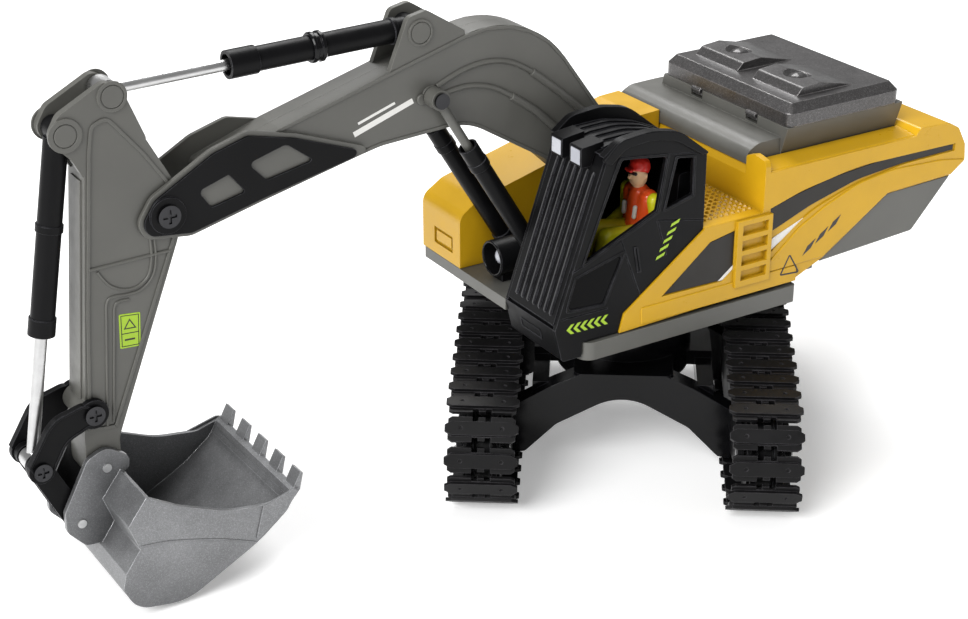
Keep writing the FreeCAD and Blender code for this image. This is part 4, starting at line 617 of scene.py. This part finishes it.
def side_graphics():
    """Inlaid stripes, panel and tip, raised bands and step, and the printed marks on the left band."""
    for tag, side in SIDES:
        low, high = layer(side * HOUSE_Y, side, *INLAY)
        side_plate("stripe_" + tag, [STRIPE], low, high, *on("house", "black_plastic", "charcoal"), 0.1)
        side_plate("stripe_wedge_" + tag, [WEDGE], low, high, *on("house", "white_plastic", "white"), 0.0)
        side_plate("side_band_" + tag, [BAND], *layer(side * HOUSE_Y, side, 0.4, BAND_PROUD),
                   *on("house", "yellow_plastic"), 0.35)
    low, high = layer(HOUSE_Y, LEFT, *INLAY)
    side_plate("wall_panel", [PANEL], low, high, *on("house", "black_plastic", "charcoal"), 0.1)
    side_plate("wall_panel_tip", [PANEL_TIP], low, high + 0.03, *on("house", "white_plastic", "white"), 0.0)
    side_plate("wall_step", [STEP], *layer(HOUSE_Y, LEFT, 0.3, 0.5), *on("house", "yellow_plastic"), 0.35)
    low, high = layer(HOUSE_Y + BAND_PROUD, LEFT, 0.1, 0.06)
    ink = on("house", "black_plastic", "dark")
    frame_ring("hazard_mark", HAZARD, 0.75, low, high, xz, *ink, 0.0)
    bars = []
    for k in range(3):
        x, z = -62.0 - 7.6 * k, 98.8 + 4.6 * k
        bars.append([(x, z), (x - 2.9, z + 4.6), (x - 7.9, z + 7.6), (x - 5.0, z + 3.0)])
    side_plate("wall_mark", bars, low, high, *ink, 0.0)


STUD_ROWS, STUD_COLUMNS, STUD_PITCH = 10, 11, 3.4
STUD_X, STUD_Y, PLATFORM_Z = -33.6, 17.8, 127.0
STUD_HALF, STUD_TIP, STUD_HEIGHT = 1.45, 0.4, 0.95      # the tip is a share of the base
DIAMOND = ((1, 0), (0, 1), (-1, 0), (0, -1))


def platform_studs():
    """Raised tread on the platform behind the cab."""
    bm = bmesh.new()
    for i in range(STUD_ROWS):
        for j in range(STUD_COLUMNS):
            x, y = STUD_X + STUD_PITCH * i, STUD_Y + STUD_PITCH * j
            rings = []
            for half, z in ((STUD_HALF, PLATFORM_Z - 0.1), (STUD_HALF * STUD_TIP, PLATFORM_Z + STUD_HEIGHT)):
                rings.append([bm.verts.new(Vector((x + a * half, y + b * half, z)) * MM) for a, b in DIAMOND])
            base, tip = rings
            bm.faces.new(base)
            bm.faces.new(tip)
            for k in range(4):
                m = (k + 1) % 4
                bm.faces.new((base[k], base[m], tip[m], tip[k]))
    mesh_piece("platform_tread", bm, *on("house", "yellow_plastic"), smooth=False)


RIB_COUNT, RIB_Y, RIB_PITCH = 7, 24.25, 4.6
RIB_CREST = [(79.4, 99.2), (80.4, 100.8), (79.6, 103.0), (58.9, 163.3), (57.6, 164.4)]
LOW_PANE = [(69.6, 117.3, 1.5), (44.6, 123.8, 1.5), (54.8, 101.9, 2), (74.4, 103.2, 2)]
CAB_RIMS = [  # name, width, height above the cab's side, outline
    ("cab_low_pane_frame", 0.9, 0.35,
     [(71.2, 118.8, 1.5), (42.2, 126.4, 1.5), (53.8, 100.4, 2), (76.4, 101.9, 2)]),
    ("cab_handle", 0.6, 0.5,
     [(38.9, 126.4, 0.5), (36.6, 126.0, 0.5), (34.2, 112.6, 0.5), (36.5, 113.0, 0.5)]),
    ("cab_window_frame", 1.1, 0.4,
     [(48.6, 171.4, 2), (20.2, 167.8, 1.5), (24.9, 140.2, 1), (67.9, 122.0, 1)]),
    ("cab_rear_window_frame", 1.0, 0.4,
     [(17.1, 165.9, 1), (5.4, 164.2, 1), (5.0, 143.9, 1), (23.2, 139.6, 1)]),
]
VISOR = [(58.2, 171.6, 1), (48.6, 179.9, 10), (32, 181.2, 30), (16, 178.0, 20), (-1.6, 164.2, 0.6),
         (3.0, 164.0, 0.6), (18, 173.6, 20), (32, 176.6, 30), (46.2, 175.4, 10), (53.6, 169.2, 1)]
REAR_PANE = [(22.6, 135.6, 2), (51.9, 135.6, 2), (51.9, 158.4, 2), (22.6, 158.4, 2)]
INNER_PANE = [(46.2, 166.2, 2), (7.6, 160.8, 2), (7.6, 135.6, 2), (60.4, 127.6, 2)]
STEP_FRAME = [(27.5, 84.2, 0.8), (44.5, 84.2, 0.8), (44.5, 89.6, 0.8), (27.5, 89.6, 0.8)]
FAIRING_X, FAIRING_Z, FAIRING_SLOPE = 77.2, 78.0, 0.241


def cab_prints():
    """Green chevrons and slanted bars on the cab's side."""
    chevrons = []
    for k in range(6):
        x, z = 75.0 - 3.75 * k, 91.0
        chevrons.append([(x, z + 2.4), (x - 2.4, z + 4.8), (x - 4.3, z + 4.8), (x - 1.9, z + 2.4),
                         (x - 4.3, z), (x - 2.4, z)])
    bars = []
    for k in range(5):
        x, z = 18.2 + 1.95 * k, 131.4 - 3.7 * k
        bars.append([(x, z), (x - 4.7, z + 1.5), (x - 5.4, z + 3.1), (x - 0.7, z + 1.6)])
    for name, outlines in (("cab_chevrons", chevrons), ("cab_bars", bars)):
        side_plate(name, outlines, *layer(CAB_Y, LEFT, 0.1, PRINT_MM),
                   *on("house", "figure_plastic", "green"), 0.0)


def cab_side():
    """Pale tubes on the front ribs' edges as painted highlights, the low pane, the raised rims and the visor over
    the window.
    """
    crests = [[(x, RIB_Y + RIB_PITCH * k, z) for x, z in RIB_CREST] for k in range(RIB_COUNT)]
    # Pale tubes along the rib crests as a painted highlight.
    tube("cab_rib_edge_highlights", crests, 0.32, *on("house", "black_plastic", "rib"))
    side_plate("cab_low_pane", [LOW_PANE], *layer(CAB_Y, LEFT, 1.0, -0.7),
               *on("house", "gloss_black", "pane"), 0.1)
    for name, width, over, corners in CAB_RIMS:
        frame_ring(name, corners, width, *layer(CAB_Y, LEFT, 0.3, over), xz, *on("house", "black_plastic"))
    side_plate("cab_visor_left", [VISOR], *layer(CAB_Y, LEFT, 0.5, 1.8), *on("house", "black_plastic"), 0.5)


def on_rear(y, z, depth):
    return Vector((depth, y, z))


def on_fairing(y, z, depth):
    return Vector((FAIRING_X + (z - FAIRING_Z) * FAIRING_SLOPE + depth, y, z))


def cab_panes():
    """Dark panes in the cab's rear wall and on the side towards the boom."""
    bm = bmesh.new()
    add_slab(bm, rounded(REAR_PANE), -0.5, 0.5, on_rear)
    add_slab(bm, rounded(INNER_PANE), 19.2, 20.0, xz)
    mesh_piece("cab_dark_panes", bm, *on("house", "gloss_black", "pane"), 0.1)


def cab_step():
    """Raised frame of the foot step under the cab's front."""
    frame_ring("cab_step_frame", STEP_FRAME, 0.8, -0.3, 0.35, on_fairing, *on("house", "black_plastic"))


def vent_domes():
    """Two low domes on the battery cover."""
    for tag, y in (("left", 22.5), ("right", -22.5)):
        figure_part("vent_dome_" + tag, [((-84.8, y, 171.2), (-83.2, y, 171.2), 6.3, 6.3)], "battery_cover",
                    MATERIALS["cover_plastic"], 0.5, 2)


def headlight_bezel():
    """Round bead at the mouth of the lamp in front of the boom's foot."""
    mouth_x = span("headlight_tube", "x")[1]
    centre_y, centre_z, radius, points = ARM_Y - 0.6, 105.7, 8.15, 24
    ring = [(mouth_x, centre_y + radius * math.cos(a), centre_z + radius * math.sin(a))
            for a in [2 * math.pi * k / points for k in range(points)]]
    tube("headlight_bezel", [ring], 0.62, *on("house", "gloss_black"), closed=True)


# ---------------------------------------------------------------- driver
SEAT_Y = sum(span("driver", "y")) / 2         # middle plane of the driver


def bone(p, q, r1, r2):
    """Capsule between two (x, offset, z) ends, the offset taken from the driver's middle plane."""
    return (p[0], SEAT_Y + p[1], p[2]), (q[0], SEAT_Y + q[1], q[2]), r1, r2


def pair(*bones):
    """The same capsules on both sides of the driver's middle plane."""
    return [bone((p[0], side * p[1], p[2]), (q[0], side * q[1], q[2]), r1, r2)
            for side in (-1, 1) for p, q, r1, r2 in bones]


def driver_figure():
    """Seated toy figure in cap, visor glasses, vest and work clothes."""
    head = [bone((23.4, 0, 150.6), (23.6, 0, 154.2), 4.5, 4.9),
            bone((23, 0, 146), (23, 0, 149), 3.0, 3.0),
            bone((28.1, 0, 152.2), (28.5, 0, 151.8), 0.95, 0.95),
            *pair(((22.8, 4.9, 152.3), (22.8, 5.0, 153.3), 1.0, 1.0))]
    glasses = [bone((27.2, -3.2, 154.0), (28.0, 0, 154.1), 0.9, 1.0),
               bone((28.0, 0, 154.1), (27.2, 3.2, 154.0), 1.0, 0.9)]
    cap = [bone((22.7, 0, 156.0), (22.9, 0, 156.6), 5.3, 5.0),
           bone((26.2, -2.4, 155.9), (26.2, 2.4, 155.9), 1.3, 1.3),
           bone((28.8, -1.8, 155.5), (28.8, 1.8, 155.5), 1.0, 1.0)]
    vest = [*pair(((22.4, 3.8, 127.0), (21.6, 6.0, 141.8), 5.2, 4.8)),
            bone((23.4, 0, 126.5), (22.4, 0, 142.6), 6.0, 5.4)]
    arms = pair(((21.5, 10.2, 142.2), (20.6, 12.0, 131.0), 3.7, 3.2),
                ((20.6, 12.0, 131.0), (30, 11.4, 126.2), 3.2, 2.6))
    legs = pair(((24.5, 4.4, 124.4), (44.5, 5.8, 127.6), 5.0, 4.6),
                ((44.5, 5.8, 127.6), (50.0, 5.6, 107.5), 4.5, 3.2))
    hands = pair(((31.4, 11.2, 125.6), (33.6, 10.8, 125.2), 2.3, 2.1))
    shoes = pair(((50.2, 5.4, 103.6), (55.6, 5.4, 102.2), 3.0, 2.7))
    pockets = pair(((28.0, 4.0, 133.4), (27.6, 4.2, 138.0), 1.15, 1.15))
    pieces = [
        figure_part("driver_head", head, "house", PAINT["skin"], 0.4, 3),
        figure_part("driver_glasses", glasses, "house", PAINT["dark"], 0.35, 2),
        figure_part("driver_cap", cap, "house", PAINT["red"], 0.4, 3),
        figure_part("driver_vest", vest, "house", PAINT["orange"], 0.5, 4),
        figure_part("driver_clothes", arms + legs, "house", MATERIALS["figure_plastic"], 0.5, 4),
        figure_part("driver_hands", hands, "house", PAINT["skin"], 0.45, 2),
        figure_part("driver_shoes", shoes, "house", PAINT["dark"], 0.5, 3),
        figure_part("driver_pockets", pockets, "house", PAINT["white"], 0.3, 1),
    ]
    for piece in pieces:
        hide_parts("driver")


# ---------------------------------------------------------------- camera, light and floor
CAMERA_PLACE = (0.5294, 0.7101, 0.4798)
CAMERA_HEADING, CAMERA_DOWN = 237.82, 25.33   # degrees
CAMERA_SENSOR, CAMERA_LENS = 36.0, 72.61      # millimetres
SKY_LIGHT, FLOOR_GLOW = 0.30, 0.30
FLOOR_SPAN, FLOOR_GAP = 6.0, 0.0002           # metres


def aimed(name, data, place, direction):
    """Adds a camera or light that looks along a direction."""
    obj = bpy.data.objects.new(name, data)
    obj.location = place
    obj.rotation_mode = "QUATERNION"
    obj.rotation_quaternion = direction.to_track_quat("-Z", "Y")
    bpy.context.scene.collection.objects.link(obj)
    return obj


def camera():
    """Seen from the front left and above."""
    heading, down = math.radians(CAMERA_HEADING), math.radians(CAMERA_DOWN)
    look = Vector((math.cos(down) * math.cos(heading), math.cos(down) * math.sin(heading), -math.sin(down)))
    data = bpy.data.cameras.new("camera")
    data.sensor_width, data.lens = CAMERA_SENSOR, CAMERA_LENS
    data.clip_start, data.clip_end = 0.02, 20.0
    bpy.context.scene.camera = aimed("camera", data, CAMERA_PLACE, look)


def area(name, place, aim, size, power):
    data = bpy.data.lights.new(name, "AREA")
    data.shape, data.size, data.energy = "DISK", size, power
    aimed(name, data, place, Vector(aim) - Vector(place))


def sun(name, source, strength, width):
    data = bpy.data.lights.new(name, "SUN")
    data.energy, data.angle = strength, math.radians(width)
    aimed(name, data, (0, 0, 0), -Vector(source))


def white_room():
    """Even white sky: dim as a light, full white where it is seen directly."""
    world = bpy.data.worlds.new("studio")
    bpy.context.scene.world = world
    world.use_nodes = True
    background = world.node_tree.nodes["Background"]
    background.inputs["Color"].default_value = (1.0, 1.0, 1.0, 1.0)
    path = world.node_tree.nodes.new("ShaderNodeLightPath")
    strength = world.node_tree.nodes.new("ShaderNodeMapRange")
    strength.inputs["To Min"].default_value = SKY_LIGHT
    world.node_tree.links.new(path.outputs["Is Camera Ray"], strength.inputs["Value"])
    world.node_tree.links.new(strength.outputs["Result"], background.inputs["Strength"])
    bpy.context.scene.view_settings.view_transform = "Standard"


def pale_floor():
    """Plain pale floor just under the object, with a faint glow that keeps the shadows pale."""
    s = FLOOR_SPAN
    floor = bpy.data.meshes.new("floor")
    floor.from_pydata([(-s, -s, 0), (s, -s, 0), (s, s, 0), (-s, s, 0)], [], [(0, 1, 2, 3)])
    obj = bpy.data.objects.new("floor", floor)
    g = Graph("studio_floor")
    g.link(g.blend(g.remap(g.noise(3.0), *NOISE_RANGE, 0.0, 1.0), (0.90, 0.90, 0.90), (0.92, 0.92, 0.92)),
           g.shader.inputs["Base Color"])
    g.shader.inputs["Roughness"].default_value = 0.7
    g.shader.inputs["Emission Color"].default_value = (1.0, 1.0, 1.0, 1.0)
    g.shader.inputs["Emission Strength"].default_value = FLOOR_GLOW
    floor.materials.append(g.material)
    bpy.context.scene.collection.objects.link(obj)
    obj.location.z = cad_low.z - FLOOR_GAP


dress_nodes()
boom_details()
cylinder_details()
stick_details()
stick_sticker()
linkage_details()
bucket_details()
side_graphics()
platform_studs()
cab_prints()
cab_side()
cab_panes()
cab_step()
vent_domes()
headlight_bezel()
driver_figure()
camera()
white_room()
sun("key", (0.84, 0.32, 0.66), 3.35, 36)
area("back", (-0.35, -0.75, 1.35), (-0.05, 0, 0.10), 1.0, 18.0)
pale_floor()
